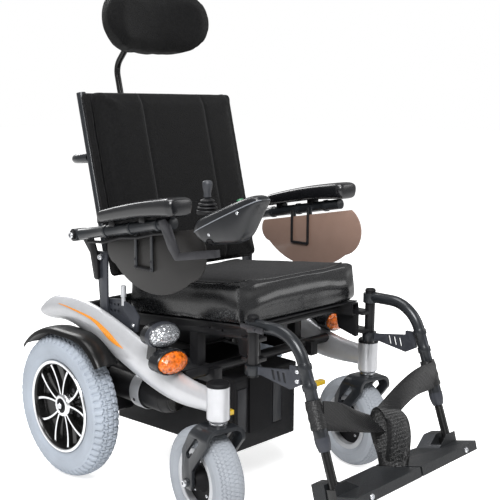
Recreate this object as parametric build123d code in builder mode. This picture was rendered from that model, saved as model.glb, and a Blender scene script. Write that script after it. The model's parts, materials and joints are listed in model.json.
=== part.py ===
from build123d import *
from math import atan2, cos, degrees, radians, sin, sqrt, tan
import os

# Power wheelchair. The chair faces -Y, its occupant's right is -X, and it stands on Z = 0.
# Its origin is on the floor at the middle of its length and width.
os.makedirs("parts", exist_ok=True)

SIDES = {"right": -1, "left": 1}

# Drive wheels: 14 inch tyres, 3 inches wide.
AXLE_Y = 334.0
TYRE_R = 178.0
TYRE_HALF_WIDTH = 36.0
WHEEL_X = 288.0
RIM_SEAT_R = 111.0
RIM_HALF_WIDTH = 30.0
AXLE_R = 12.0
SPOKE_PAIRS = 5

# Casters: 9 inch tyres, with the forks turned a little from straight ahead.
CASTER_X = 257.0
CASTER_Y = -172.0
CASTER_R = 114.5
CASTER_HALF_WIDTH = 35.0
CASTER_RIM_R = 66.0
CASTER_TRAIL = 48.0
CASTER_YAW = -10.0
STEM_R = 10.0
HEAD_TUBE_R = 24.7
HEAD_TUBE_BOTTOM = 258.0
HEAD_TUBE_TOP = 332.0
FORK_TOP = 247.0
FORK_ARM_THICKNESS = 8.0
FORK_INNER_X = 41.0
CASTER_AXLE_R = 6.0

# Frame.
SIDE_FRAME_HALF_WIDTH = 20.0
RAIL_X = 165.0
RAIL_WIDTH = 24.0
RAIL_BOTTOM = 296.0
RAIL_TOP = 330.0
CHASSIS_FRONT_Y = -75.0
CHASSIS_REAR_Y = 400.0
TIE_DOWN_R = 9.0
TIE_DOWN_THICKNESS = 8.0
TIE_DOWN_X = 204.0
TIE_DOWN_Z = 314.0

LAMP_HALF_WIDTH = 40.0
LAMP_HALF_HEIGHT = 24.0

# Battery box and drive.
BOX_HALF_WIDTH = 106.0
BOX_FRONT_Y = -67.0
BOX_REAR_Y = 376.0
BOX_WALL = 4.0
BOX_TOP = 280.0
BOX_FLOOR = 118.0
LID_TOP = 292.0
MOTOR_X = 172.0
MOTOR_Z = 228.0
MOTOR_R = 40.0
LEVER_X = 156.0
LEVER_Z = 222.0

# Seat.
SEAT_TILT = 5.1
SEAT_ORIGIN_Z = 433.6
CUSHION_HALF_WIDTH = 190.0
CUSHION_FRONT_HEIGHT = 89.0
CUSHION_REAR_HEIGHT = 84.0
ACCESSORY_HOLE_R = 3.25
ACCESSORY_SPACING = 40.0

# Back, measured up the back from its hinge.
BACK_TILT = 14.0
BACK_PIVOT = (0, 241.0, 553.0)
CANE_X = 228.0
CANE_R = 11.0
CANE_LENGTH = 396.0
BACK_TOP = 392.0
BACK_BOTTOM = -55.0
PANEL_FRONT = 15.0
BACK_CUSHION_FRONT = 60.0
HINGE_PLATE_X = 240.5
HINGE_PLATE_THICKNESS = 5.5
HINGE_PIN_R = 6.0
RUNNING_GAP = 0.05

# Push bar and headrest.
PUSH_BAR_Y = 392.0
PUSH_BAR_Z = 776.0
PUSH_BAR_R = 11.0
HEADREST_X = -20.0
STEM_TUBE_R = 8.0
HEADREST_PIVOT = (HEADREST_X, 392.0, 1092.0)
HEADREST_HALF_WIDTH = 170.0
HEADREST_BOTTOM = 1031.0
HEADREST_HEIGHT = 174.0
HEADREST_BACK_Y = 362.0

# Armrests.
ARMREST_X = 278.0
ARMREST_PIVOT_Y = 289.0
ARMREST_PIVOT_Z = 605.0
ARMREST_SLOPE = 9.87
ARMREST_TUBE_R = 13.0
ARMREST_TUBE_LENGTH = 352.0
PAD_HALF_WIDTH = 35.0
GUARD_X = 258.0
GUARD_THICKNESS = 3.0

# Controller.
POD_TAIL = (-145.0, 656.0)
POD_NOSE = (-322.0, 735.0)
POD_HALF_WIDTH = 33.0
POD_SHELL = 2.5
JOYSTICK_Y = -162.0
JOYSTICK_PIVOT_Z = 700.0
BOOT_R = 23.0

# Legrests, swung from posts at the front of the seat frame.
POST_X = 200.0
POST_Y = -217.0
POST_R = 12.0
POST_BOTTOM = 350.0
POST_TOP = 474.0
HANGER_Z = 462.0
HANGER_BEND_Y = -278.0
HANGER_BEND_R = 84.5
HANGER_DROP = 19.6
HANGER_TUBE_R = 13.0
FOOTREST_TUBE_R = 9.5
SLEEVE_LENGTH = 158.0
STRAP_THICKNESS = 4.0
STRAP_HEIGHT = 60.0

# Footplates, tilted toe up.
FOOTPLATE_TILT = 15.0
FOOTPLATE_ORIGIN = (0, -451.5, 153.0)
FOOTPLATE_HALF_LENGTH = 60.0
FOOTPLATE_THICKNESS = 20.0
FOOTPLATE_INNER_X = 3.0
FOOTPLATE_OUTER_X = 214.0
FLIP_X = 170.0
FLIP_PIN_R = 4.0


def back_point(up, forward):
    """Y and Z of a point measured up the back and forward from its hinge line."""
    tilt = radians(BACK_TILT)
    y = BACK_PIVOT[1] + up * sin(tilt) - forward * cos(tilt)
    z = BACK_PIVOT[2] + up * cos(tilt) + forward * sin(tilt)
    return y, z


def seat_point(back, up):
    """Y and Z of a point measured rearward along the seat and up from the pan's top."""
    tilt = radians(SEAT_TILT)
    return back * cos(tilt) + up * sin(tilt), SEAT_ORIGIN_Z - back * sin(tilt) + up * cos(tilt)


def seat_height(y, up):
    """Z at a given Y of a line parallel to the seat, measured up from the pan's top."""
    tilt = radians(SEAT_TILT)
    return SEAT_ORIGIN_Z - y * tan(tilt) + up / cos(tilt)


def armrest_point(forward, up):
    """Y and Z of a point measured forward along the armrest tube and up from its axis."""
    slope = radians(ARMREST_SLOPE)
    y = ARMREST_PIVOT_Y - forward * cos(slope) + up * sin(slope)
    z = ARMREST_PIVOT_Z + forward * sin(slope) + up * cos(slope)
    return y, z


def hanger_point(along):
    """Y and Z of a point along the straight part of the hanger, from the end of its bend."""
    drop = radians(HANGER_DROP)
    start_y = HANGER_BEND_Y - HANGER_BEND_R * cos(drop)
    start_z = HANGER_Z - HANGER_BEND_R + HANGER_BEND_R * sin(drop)
    return start_y - along * sin(drop), start_z - along * cos(drop)


def side_plane(x):
    """A plane across the chair at x, with its own x along +Y and its own y along +Z."""
    return Plane(origin=(x, 0, 0), x_dir=(0, 1, 0), z_dir=(1, 0, 0))


def rod(start, end, radius, bore=0, mode=Mode.ADD):
    """A round bar or tube between two points."""
    run = Vector(*end) - Vector(*start)
    with BuildSketch(Plane(origin=start, z_dir=run)) as section:
        Circle(radius)
        if bore:
            Circle(bore, mode=Mode.SUBTRACT)
    extrude(section.sketch, amount=run.length, mode=mode)


def cross_rod(x_start, x_end, y, z, radius, bore=0, mode=Mode.ADD):
    """A round bar or tube parallel to X."""
    rod((x_start, y, z), (x_end, y, z), radius, bore, mode)


def bent_tube(points, bend_radius, radius, bore):
    """A tube along straight runs with rounded corners."""
    with BuildLine() as route:
        FilletPolyline(*points, radius=bend_radius)
    with BuildSketch(Plane(origin=route.line @ 0, z_dir=route.line % 0)) as section:
        Circle(radius)
        if bore:
            Circle(bore, mode=Mode.SUBTRACT)
    sweep(section.sketch, path=route.line)


def oval(x, y_rear, y_front, z, half_width, half_height, mode=Mode.ADD):
    """An elliptical bar parallel to Y."""
    with BuildSketch(Plane(origin=(x, y_rear, z), x_dir=(1, 0, 0), z_dir=(0, -1, 0))) as section:
        Ellipse(half_width, half_height)
    extrude(section.sketch, amount=y_rear - y_front, mode=mode)


def side_slab(points, x_start, thickness, corner=0, mode=Mode.ADD):
    """A plate across X whose outline is given by Y and Z."""
    with BuildSketch(side_plane(x_start)) as outline:
        with BuildLine():
            Polyline(*points, close=True)
        make_face()
        if corner:
            fillet(outline.vertices(), corner)
    extrude(outline.sketch, amount=thickness, mode=mode)


def block(low, high, mode=Mode.ADD):
    """A box between two corners."""
    size = [top - bottom for bottom, top in zip(low, high)]
    with BuildSketch(Plane.XY.offset(low[2])) as base:
        with Locations(((low[0] + high[0]) / 2, (low[1] + high[1]) / 2)):
            Rectangle(size[0], size[1])
    extrude(base.sketch, amount=size[2], mode=mode)


def write(piece, label):
    """Label a finished piece and write its STEP file."""
    piece.part.label = label
    export_step(piece.part, f"parts/{label}.step")


# ---------------------------------------------------------------- frame


def make_side_frames():
    """Tapered oval side members that sweep down to the caster head tubes."""
    stations = [
        (464, 391, 30),
        (445, 397, 48),
        (398, 408, 62),
        (330, 408, 70),
        (262, 395, 79),
        (190, 374, 84),
        (120, 351, 86),
        (50, 327, 84),
        (-20, 306, 74),
        (-90, 296, 60),
        (-160, 294, 50),
    ]
    with BuildPart() as side_frames:
        for index, (y, z, height) in enumerate(stations):
            before = stations[max(index - 1, 0)]
            after = stations[min(index + 1, len(stations) - 1)]
            heading = (0, after[0] - before[0], after[1] - before[1])
            with BuildSketch(Plane(origin=(CASTER_X, y, z), x_dir=(1, 0, 0), z_dir=heading)):
                Ellipse(SIDE_FRAME_HALF_WIDTH, height / 2)
        loft()
        with BuildSketch(Plane.XY.offset(HEAD_TUBE_BOTTOM)):
            with Locations((CASTER_X, CASTER_Y)):
                Circle(HEAD_TUBE_R)
        extrude(amount=HEAD_TUBE_TOP - HEAD_TUBE_BOTTOM)
        rim = side_frames.edges().filter_by(GeomType.CIRCLE).sort_by(Axis.Z)[0]
        fillet(rim, 5)
        rod((CASTER_X, CASTER_Y, 250), (CASTER_X, CASTER_Y, 340), 18, mode=Mode.SUBTRACT)
        mirror(about=Plane.YZ)
    write(side_frames, "side_frames")


def make_head_tube_parts():
    """Caster bearings and the caps that close the head tubes."""
    with BuildPart() as caster_bearings:
        for z in (HEAD_TUBE_BOTTOM, HEAD_TUBE_TOP - 12):
            rod((CASTER_X, CASTER_Y, z), (CASTER_X, CASTER_Y, z + 12), 18, STEM_R + RUNNING_GAP)
        mirror(about=Plane.YZ)
    write(caster_bearings, "caster_bearings")

    with BuildPart() as head_tube_caps:
        with BuildSketch(Plane.XY.offset(HEAD_TUBE_TOP)):
            with Locations((CASTER_X, CASTER_Y)):
                Circle(HEAD_TUBE_R + 0.5)
        extrude(amount=9)
        fillet(head_tube_caps.edges().group_by(Axis.Z)[-1], 6)
        mirror(about=Plane.YZ)
    write(head_tube_caps, "head_tube_caps")


def make_chassis_frame():
    """Welded rails and cross tubes between the side members, with tie-down eyes behind."""
    with BuildPart() as chassis_frame:
        low_x = RAIL_X - RAIL_WIDTH / 2
        high_x = RAIL_X + RAIL_WIDTH / 2
        for side in SIDES.values():
            inner = min(side * low_x, side * high_x)
            block((inner, CHASSIS_FRONT_Y, RAIL_BOTTOM), (inner + RAIL_WIDTH, CHASSIS_REAR_Y, RAIL_TOP))
            for y in (20, 300):
                shelf = sorted((side * (BOX_HALF_WIDTH + 0.2), side * high_x))
                block((shelf[0], y, RAIL_BOTTOM - 12), (shelf[1], y + 30, RAIL_BOTTOM))
            for y in (-20, 190):
                front_top = seat_height(y, -31.2)
                rear_top = seat_height(y + 26, -31.2)
                post = [(y, RAIL_TOP), (y + 26, RAIL_TOP), (y + 26, rear_top), (y, front_top)]
                side_slab(post, inner, RAIL_WIDTH)
        side_gap = CASTER_X - SIDE_FRAME_HALF_WIDTH + 6
        for y, z, radius in ((-46, 322, 12), (366, 404, 14)):
            cross_rod(-side_gap, side_gap, y, z, radius)
        cross_rod(-RAIL_X, RAIL_X, CHASSIS_REAR_Y - 14, 313, 13)
        for side in SIDES.values():
            rear_post = sorted((side * (RAIL_X - 8), side * (RAIL_X + 8)))
            block((rear_post[0], 352, RAIL_TOP), (rear_post[1], 380, 404))
            ends = sorted((side * (RAIL_X - 12), side * (TIE_DOWN_X + 22)))
            low = (ends[0], CHASSIS_REAR_Y - 2, RAIL_BOTTOM)
            high = (ends[1], CHASSIS_REAR_Y - 2 + TIE_DOWN_THICKNESS, RAIL_TOP + 2)
            block(low, high)
            start = (side * TIE_DOWN_X, low[1] - 1, TIE_DOWN_Z)
            end = (side * TIE_DOWN_X, high[1] + 1, TIE_DOWN_Z)
            rod(start, end, TIE_DOWN_R, mode=Mode.SUBTRACT)
        block((-low_x, 120, 318), (low_x, 250, 322))
    write(chassis_frame, "chassis_frame")


def make_battery_box():
    """Battery tray with a rising underside, its lid with a front strap, and two batteries."""
    inner_x = BOX_HALF_WIDTH - BOX_WALL
    with BuildPart() as battery_box:
        outer = [(BOX_FRONT_Y, 112), (BOX_REAR_Y, 92), (BOX_REAR_Y, BOX_TOP), (BOX_FRONT_Y, BOX_TOP)]
        side_slab(outer, -BOX_HALF_WIDTH, 2 * BOX_HALF_WIDTH)
        fillet(battery_box.edges().filter_by(Axis.Z), 8)
        low = (-inner_x, BOX_FRONT_Y + BOX_WALL, BOX_FLOOR)
        high = (inner_x, BOX_REAR_Y - BOX_WALL, BOX_TOP + 1)
        block(low, high, Mode.SUBTRACT)
        for x in (-98, 22):
            block((x, BOX_FRONT_Y - 1, 152), (x + 34, BOX_FRONT_Y + 1.5, 262), Mode.SUBTRACT)
    write(battery_box, "battery_box")

    with BuildPart() as battery_box_lid:
        low = (-BOX_HALF_WIDTH, BOX_FRONT_Y, BOX_TOP)
        high = (BOX_HALF_WIDTH, BOX_REAR_Y, LID_TOP)
        block(low, high)
        fillet(battery_box_lid.edges().group_by(Axis.Z)[-1], 5)
        block((-60, BOX_FRONT_Y - 5, 150), (11, BOX_FRONT_Y - 0.2, LID_TOP))
        block((-60, BOX_FRONT_Y - 1, BOX_TOP + 0.5), (11, BOX_FRONT_Y + 1, LID_TOP - 6))
    write(battery_box_lid, "battery_box_lid")

    with BuildPart() as batteries:
        for y in (-58, 164):
            block((-98, y, BOX_FLOOR), (98, y + 200, BOX_FLOOR + 150))
            for x in (-75, 60):
                block((x, y + 90, BOX_FLOOR + 150), (x + 15, y + 105, BOX_FLOOR + 158))
    write(batteries, "batteries")


def make_drive_units():
    """Right-angle gear motors, their freewheel levers and the power module."""
    with BuildPart() as gear_motors:
        rod((MOTOR_X, 84, MOTOR_Z), (MOTOR_X, 292, MOTOR_Z), MOTOR_R)
        with BuildSketch(Plane(origin=(MOTOR_X, 84, MOTOR_Z), z_dir=(0, -1, 0))):
            Circle(MOTOR_R - 1)
        extrude(amount=26, taper=18)
        fillet(gear_motors.edges().group_by(Axis.Y)[0], 8)
        rod((MOTOR_X, 150, MOTOR_Z), (MOTOR_X, 180, MOTOR_Z), MOTOR_R + 4)
        block((120, 288, 138), (234, 382, 264))
        fillet(gear_motors.edges().filter_by(Axis.X).group_by(Axis.Z)[0], 12)
        block((RAIL_X - 12, 336, 262), (RAIL_X + 12, 376, RAIL_BOTTOM))
        cross_rod(230, WHEEL_X + 18, AXLE_Y, TYRE_R, AXLE_R)
        mirror(about=Plane.YZ)
    write(gear_motors, "gear_motors")

    for hand, side in SIDES.items():
        with BuildPart() as freewheel_lever:
            x = side * LEVER_X
            rod((x, 57.5, LEVER_Z), (x, 46, LEVER_Z), 9)
            rod((x, 48, LEVER_Z), (x, -76, LEVER_Z), 5)
            tip = [(-88, LEVER_Z - 6), (-70, LEVER_Z - 6), (-70, LEVER_Z + 6), (-88, LEVER_Z + 6)]
            side_slab(tip, min(x + side * 39, x - side * 28), 67, 3)
        write(freewheel_lever, f"freewheel_lever_{hand}")

    with BuildPart() as power_module:
        block((-55, 125, 322), (55, 245, 356))
        fillet(power_module.edges().filter_by(Axis.Z), 6)
        for x in (-44, -22, 0, 22, 44):
            block((x - 3, 130, 356), (x + 3, 240, 362))
    write(power_module, "power_module")


def make_mudguards():
    """Guards over the drive tyres, bolted to the side members."""
    inner_r = 192.0
    thickness = 4.0
    rear = radians(48)
    with BuildPart() as mudguards:
        with BuildSketch(side_plane(266)):
            with BuildLine():
                top = (AXLE_Y, TYRE_R + inner_r)
                back = (AXLE_Y + inner_r * sin(rear), TYRE_R + inner_r * cos(rear))
                halfway = (AXLE_Y + inner_r * sin(rear / 2), TYRE_R + inner_r * cos(rear / 2))
                ThreePointArc(back, halfway, top)
                Line(top, (268, TYRE_R + inner_r))
                TangentArc((268, TYRE_R + inner_r), (160, 311), tangent=(-1, 0))
                offset(amount=thickness, side=Side.RIGHT)
            make_face()
        extrude(amount=54)
        mirror(about=Plane.YZ)
    write(mudguards, "mudguards")


def make_lamps():
    """Headlamps and turn lamps on brackets that rise from the side members."""
    lamps = {"headlamp": (272.0, -16.0, 414.0), "turn": (279.0, -52.0, 362.0)}
    with BuildPart() as lamp_housings:
        for x, y, z in lamps.values():
            oval(x, y + 30, y, z, LAMP_HALF_WIDTH + 3, LAMP_HALF_HEIGHT + 3)
            oval(x, y + 22, y - 1, z, LAMP_HALF_WIDTH + 0.1, LAMP_HALF_HEIGHT + 0.1, Mode.SUBTRACT)
            oval(x, y + 42, y + 29, z, LAMP_HALF_WIDTH - 10, LAMP_HALF_HEIGHT - 6)
        side_slab([(18, 344), (44, 350), (34, 400), (16, 412), (10, 400), (10, 352)], 268, 6, 2)
        side_slab([(-14, 342), (30, 352), (30, 368), (-14, 374)], 268, 6, 2)
        mirror(about=Plane.YZ)
    write(lamp_housings, "lamp_housings")

    for name, (x, y, z) in lamps.items():
        with BuildPart() as lens:
            for step, inset in enumerate((0, 1.5, 4.5, 9.0, 15.0)):
                front = y - 4 * (step + 1)
                oval(x, y + 18, front, z, LAMP_HALF_WIDTH - inset, LAMP_HALF_HEIGHT - inset)
            mirror(about=Plane.YZ)
        write(lens, f"{name}_lenses")


# ---------------------------------------------------------------- wheels


def wheel_plane(x, y, z):
    """The plane that holds a wheel's section, with its own x across the wheel."""
    return Plane(origin=(x, y, z), x_dir=(1, 0, 0), z_dir=(0, -1, 0))


def tyre_face(bead, half_width, bead_r, outer_r):
    """Section of a solid-filled tyre, symmetrical about the wheel's middle plane."""
    shoulder = 0.88 * half_width
    lip_r = bead_r + 5
    bulge_r = (bead_r + outer_r) / 2
    shoulder_r = outer_r - 0.15 * (outer_r - bead_r)
    with BuildLine() as outline:
        seat = Line((-bead, bead_r), (bead, bead_r))
        Line(seat @ 1, (bead, lip_r))
        wall = ThreePointArc((bead, lip_r), (half_width, bulge_r), (shoulder, shoulder_r))
        crown = ThreePointArc(wall @ 1, (0, outer_r), (-shoulder, shoulder_r))
        ThreePointArc(crown @ 1, (-half_width, bulge_r), (-bead, lip_r))
        Line((-bead, lip_r), seat @ 0)
    make_face(outline.edges())


def make_drive_wheel(hand, side):
    """Drive tyre and its rim, with five pairs of spokes near the outer face."""
    x = side * WHEEL_X
    spin = Axis((x, AXLE_Y, TYRE_R), (1, 0, 0))
    with BuildPart() as drive_tyre:
        with BuildSketch(wheel_plane(x, AXLE_Y, TYRE_R)):
            tyre_face(26, TYRE_HALF_WIDTH, RIM_SEAT_R, TYRE_R)
        revolve(axis=spin)
    write(drive_tyre, f"drive_tyre_{hand}")

    with BuildPart() as drive_rim:
        barrel = [(-RIM_HALF_WIDTH, 103), (RIM_HALF_WIDTH, 103), (RIM_HALF_WIDTH, 115)]
        barrel += [(26.3, 115), (26.3, RIM_SEAT_R), (-26.3, RIM_SEAT_R), (-26.3, 115)]
        barrel += [(-RIM_HALF_WIDTH, 115)]
        with BuildSketch(wheel_plane(x, AXLE_Y, TYRE_R)):
            with BuildLine():
                Polyline(*barrel, close=True)
            make_face()
        revolve(axis=spin)
        face_start = x + side * 8
        face_end = x + side * 20
        cross_rod(face_start, face_end, AXLE_Y, TYRE_R, 105)
        hub = Plane(origin=(face_start - side, AXLE_Y, TYRE_R), x_dir=(0, 1, 0), z_dir=(side, 0, 0))
        with BuildSketch(hub) as windows:
            for pair in range(SPOKE_PAIRS):
                for start, width in ((0, 38), (48, 14)):
                    first = radians(72 * pair + start)
                    last = radians(72 * pair + start + width)
                    lean = radians(9)
                    inner_r = 40 if width > 20 else 52
                    corners = [
                        (inner_r * cos(first), inner_r * sin(first)),
                        (97 * cos(first + lean), 97 * sin(first + lean)),
                        (97 * cos(last + lean), 97 * sin(last + lean)),
                        (inner_r * cos(last), inner_r * sin(last)),
                    ]
                    with BuildLine():
                        Polyline(*corners, close=True)
                    make_face()
            fillet(windows.vertices(), 3)
        extrude(amount=14, mode=Mode.SUBTRACT)
        cross_rod(x - side * 34, x + side * 24, AXLE_Y, TYRE_R, 30)
        cross_rod(x - side * 36, x + side * 26, AXLE_Y, TYRE_R, AXLE_R + RUNNING_GAP, mode=Mode.SUBTRACT)
        cross_rod(x + side * 20, x + side * 30, AXLE_Y, TYRE_R, 17)
        cross_rod(x + side * 19, x + side * 25, AXLE_Y, TYRE_R, AXLE_R + RUNNING_GAP, mode=Mode.SUBTRACT)
    write(drive_rim, f"drive_rim_{hand}")


def caster_frame(side):
    """The caster's own frame: x along its axle, y trailing, origin below the head tube."""
    yaw = radians(CASTER_YAW)
    return Plane(origin=(side * CASTER_X, CASTER_Y, 0), x_dir=(cos(yaw), sin(yaw), 0), z_dir=(0, 0, 1))


def make_caster(hand, side):
    """Caster fork bent from plate, with its stem and axle, and the wheel that it carries."""
    frame = caster_frame(side)
    hub = frame.from_local_coords((0, CASTER_TRAIL, CASTER_R))
    spin = Axis(hub, frame.x_dir)
    outer_x = FORK_INNER_X + FORK_ARM_THICKNESS
    with BuildPart() as caster_fork:
        arch = Plane(
            origin=frame.from_local_coords((0, 90, 0)),
            x_dir=frame.x_dir,
            z_dir=-frame.y_dir,
        )
        with BuildSketch(arch):
            with Locations((0, FORK_TOP - 80)):
                RectangleRounded(2 * outer_x, 160, 24)
            with Locations((0, FORK_TOP - 9 - 90)):
                RectangleRounded(2 * FORK_INNER_X, 180, 16, mode=Mode.SUBTRACT)
        extrude(amount=150)
        flank = Plane(
            origin=frame.from_local_coords((-60, 0, 0)),
            x_dir=frame.y_dir,
            z_dir=frame.x_dir,
        )
        silhouette = [(-30, 262), (26, 262), (34, 236), (66, 184), (67, 112), (58, 97)]
        silhouette += [(38, 97), (28, 112), (28, 146), (-30, 216)]
        with BuildSketch(flank) as side_view:
            with BuildLine():
                Polyline(*silhouette, close=True)
            make_face()
            fillet(side_view.vertices(), 7)
        extrude(amount=120, mode=Mode.INTERSECT)
        with BuildSketch(flank):
            slot_angle = degrees(atan2(171 - 221, 50 - 7))
            with Locations(Location((26, 197), slot_angle)):
                SlotOverall(66, 16)
        extrude(amount=120, mode=Mode.SUBTRACT)
        base = frame.from_local_coords((0, 0, FORK_TOP - 5))
        rod(base, base + Vector(0, 0, HEAD_TUBE_TOP - 6 - FORK_TOP), STEM_R)
        collar = frame.from_local_coords((0, 0, FORK_TOP - 1))
        rod(collar, collar + Vector(0, 0, 10), 17)
        near = frame.from_local_coords((-outer_x - 5, CASTER_TRAIL, CASTER_R))
        far = frame.from_local_coords((outer_x + 5, CASTER_TRAIL, CASTER_R))
        rod(near, far, CASTER_AXLE_R)
        for start, end in ((-outer_x - 5, -outer_x + 1), (outer_x - 1, outer_x + 5)):
            low = frame.from_local_coords((start, CASTER_TRAIL, CASTER_R))
            high = frame.from_local_coords((end, CASTER_TRAIL, CASTER_R))
            rod(low, high, 10)
    write(caster_fork, f"caster_fork_{hand}")

    section = Plane(origin=hub, x_dir=frame.x_dir, z_dir=-frame.y_dir)
    with BuildPart() as caster_tyre:
        with BuildSketch(section):
            tyre_face(24, CASTER_HALF_WIDTH, CASTER_RIM_R, CASTER_R)
        revolve(axis=spin)
    write(caster_tyre, f"caster_tyre_{hand}")

    with BuildPart() as caster_rim:
        half = [(CASTER_AXLE_R + RUNNING_GAP, 36), (18, 36), (20, 10), (58, 10), (58, 27)]
        half += [(70, 28), (70, 24.3), (CASTER_RIM_R, 24.3)]
        outline = [(across, r) for r, across in half]
        outline += [(-across, r) for r, across in reversed(half)]
        with BuildSketch(section):
            with BuildLine():
                Polyline(*outline, close=True)
            make_face()
        revolve(axis=spin)
    write(caster_rim, f"caster_rim_{hand}")


# ---------------------------------------------------------------- seat and back


def make_seat():
    """Seat pan on two rails with the legrest posts in front, and the seat cushion."""
    with BuildPart() as seat_frame:
        pan = [seat_point(-190, -3), seat_point(205, -3), seat_point(205, 0), seat_point(-190, 0)]
        side_slab(pan, -186, 372)
        rail = [seat_point(-200, -31), seat_point(236, -31), seat_point(236, -2.5), seat_point(-200, -2.5)]
        for side in SIDES.values():
            inner = side * RAIL_X - RAIL_WIDTH / 2
            side_slab(rail, inner, RAIL_WIDTH)
            hollow = [seat_point(-201, -28), seat_point(205, -28), seat_point(205, -6), seat_point(-201, -6)]
            side_slab(hollow, inner + 3, RAIL_WIDTH - 6, mode=Mode.SUBTRACT)
            web = [(-205, 366), (-150, 380), (-140, 420), (-205, 424)]
            side_slab(web, side * (RAIL_X + 4) - 4, 8, 4)
            for z in (378, 422):
                lug = sorted((side * RAIL_X, side * POST_X))
                block((lug[0], POST_Y - 6, z), (lug[1], POST_Y + 34, z + 8))
            rod((side * POST_X, POST_Y, POST_BOTTOM), (side * POST_X, POST_Y, POST_TOP), POST_R)
            upright = sorted((side * (RAIL_X - 9), side * (RAIL_X + 9)))
            block((upright[0], 220, 404), (upright[1], 236, 448))
        for back in (-150, 150):
            y, z = seat_point(back, -17)
            cross_rod(-RAIL_X, RAIL_X, y, z, 9)
        cross_rod(-HINGE_PLATE_X, HINGE_PLATE_X, 236, 446, 9)
        for offset_y in (-ACCESSORY_SPACING / 2, ACCESSORY_SPACING / 2):
            y = -80 + offset_y
            z = seat_point(-80, -17)[1]
            cross_rod(-RAIL_X - 20, RAIL_X + 20, y, z, ACCESSORY_HOLE_R, mode=Mode.SUBTRACT)
    write(seat_frame, "seat_frame")

    with BuildPart() as seat_cushion:
        outline = [
            seat_point(-188, 0.5),
            seat_point(-192, CUSHION_FRONT_HEIGHT),
            seat_point(212, CUSHION_REAR_HEIGHT),
            seat_point(210, 0.5),
        ]
        side_slab(outline, -CUSHION_HALF_WIDTH, 2 * CUSHION_HALF_WIDTH)
        fillet(seat_cushion.edges(), 9)
    write(seat_cushion, "seat_cushion")


def make_back_hinges():
    """Plates beside the canes, with the pins that the back turns on."""
    _, pivot_y, pivot_z = BACK_PIVOT
    with BuildPart() as back_hinge_plates:
        outline = [(224, 414), (250, 414), (262, 545), (262, 566), (222, 566), (222, 540)]
        side_slab(outline, HINGE_PLATE_X, HINGE_PLATE_THICKNESS, 5)
        inner_x = HINGE_PLATE_X - 9.5
        outline = [(252, 450), (185, 458), (140, 447), (117, 424), (124, 388), (238, 378), (252, 396)]
        side_slab(outline, inner_x, HINGE_PLATE_THICKNESS, 5)
        block((inner_x + 5, 228, 416), (HINGE_PLATE_X + 0.5, 248, 434))
        for y, z in ((221, 441), (207, 442), (193, 443), (221, 425), (207, 426), (193, 427)):
            cross_rod(inner_x - 1, HINGE_PLATE_X - 1, y, z, 3.5, mode=Mode.SUBTRACT)
        cross_rod(inner_x - 1, HINGE_PLATE_X, 236, 446, 9.4, mode=Mode.SUBTRACT)
        cross_rod(214, HINGE_PLATE_X + 1, pivot_y, pivot_z, HINGE_PIN_R)
        cross_rod(HINGE_PLATE_X + 5, HINGE_PLATE_X + 11, pivot_y, pivot_z, 8)
        mirror(about=Plane.YZ)
    write(back_hinge_plates, "back_hinge_plates")


def make_armrest_brackets():
    """Ears behind the hinge plates that hold the armrest pivot bolts."""
    plate_outer = HINGE_PLATE_X + HINGE_PLATE_THICKNESS
    with BuildPart() as armrest_brackets:
        block((plate_outer, 250, 500), (plate_outer + 4, 261, 562))
        outline = [(246, 496), (262, 500), (276, 560), (304, 590), (304, 618), (276, 618), (250, 566)]
        side_slab(outline, plate_outer + 4, 5, 5)
        cross_rod(plate_outer + 8, 293, ARMREST_PIVOT_Y, ARMREST_PIVOT_Z, HINGE_PIN_R)
        cross_rod(292, 298, ARMREST_PIVOT_Y, ARMREST_PIVOT_Z, 10)
        mirror(about=Plane.YZ)
    write(armrest_brackets, "armrest_brackets")


def back_slab(ups, forwards, half_width, corner=0):
    """A slab of the back between two heights and two depths."""
    corners = [
        back_point(ups[0], forwards[0]),
        back_point(ups[1], forwards[0]),
        back_point(ups[1], forwards[1]),
        back_point(ups[0], forwards[1]),
    ]
    side_slab(corners, -half_width, 2 * half_width, corner)


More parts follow.
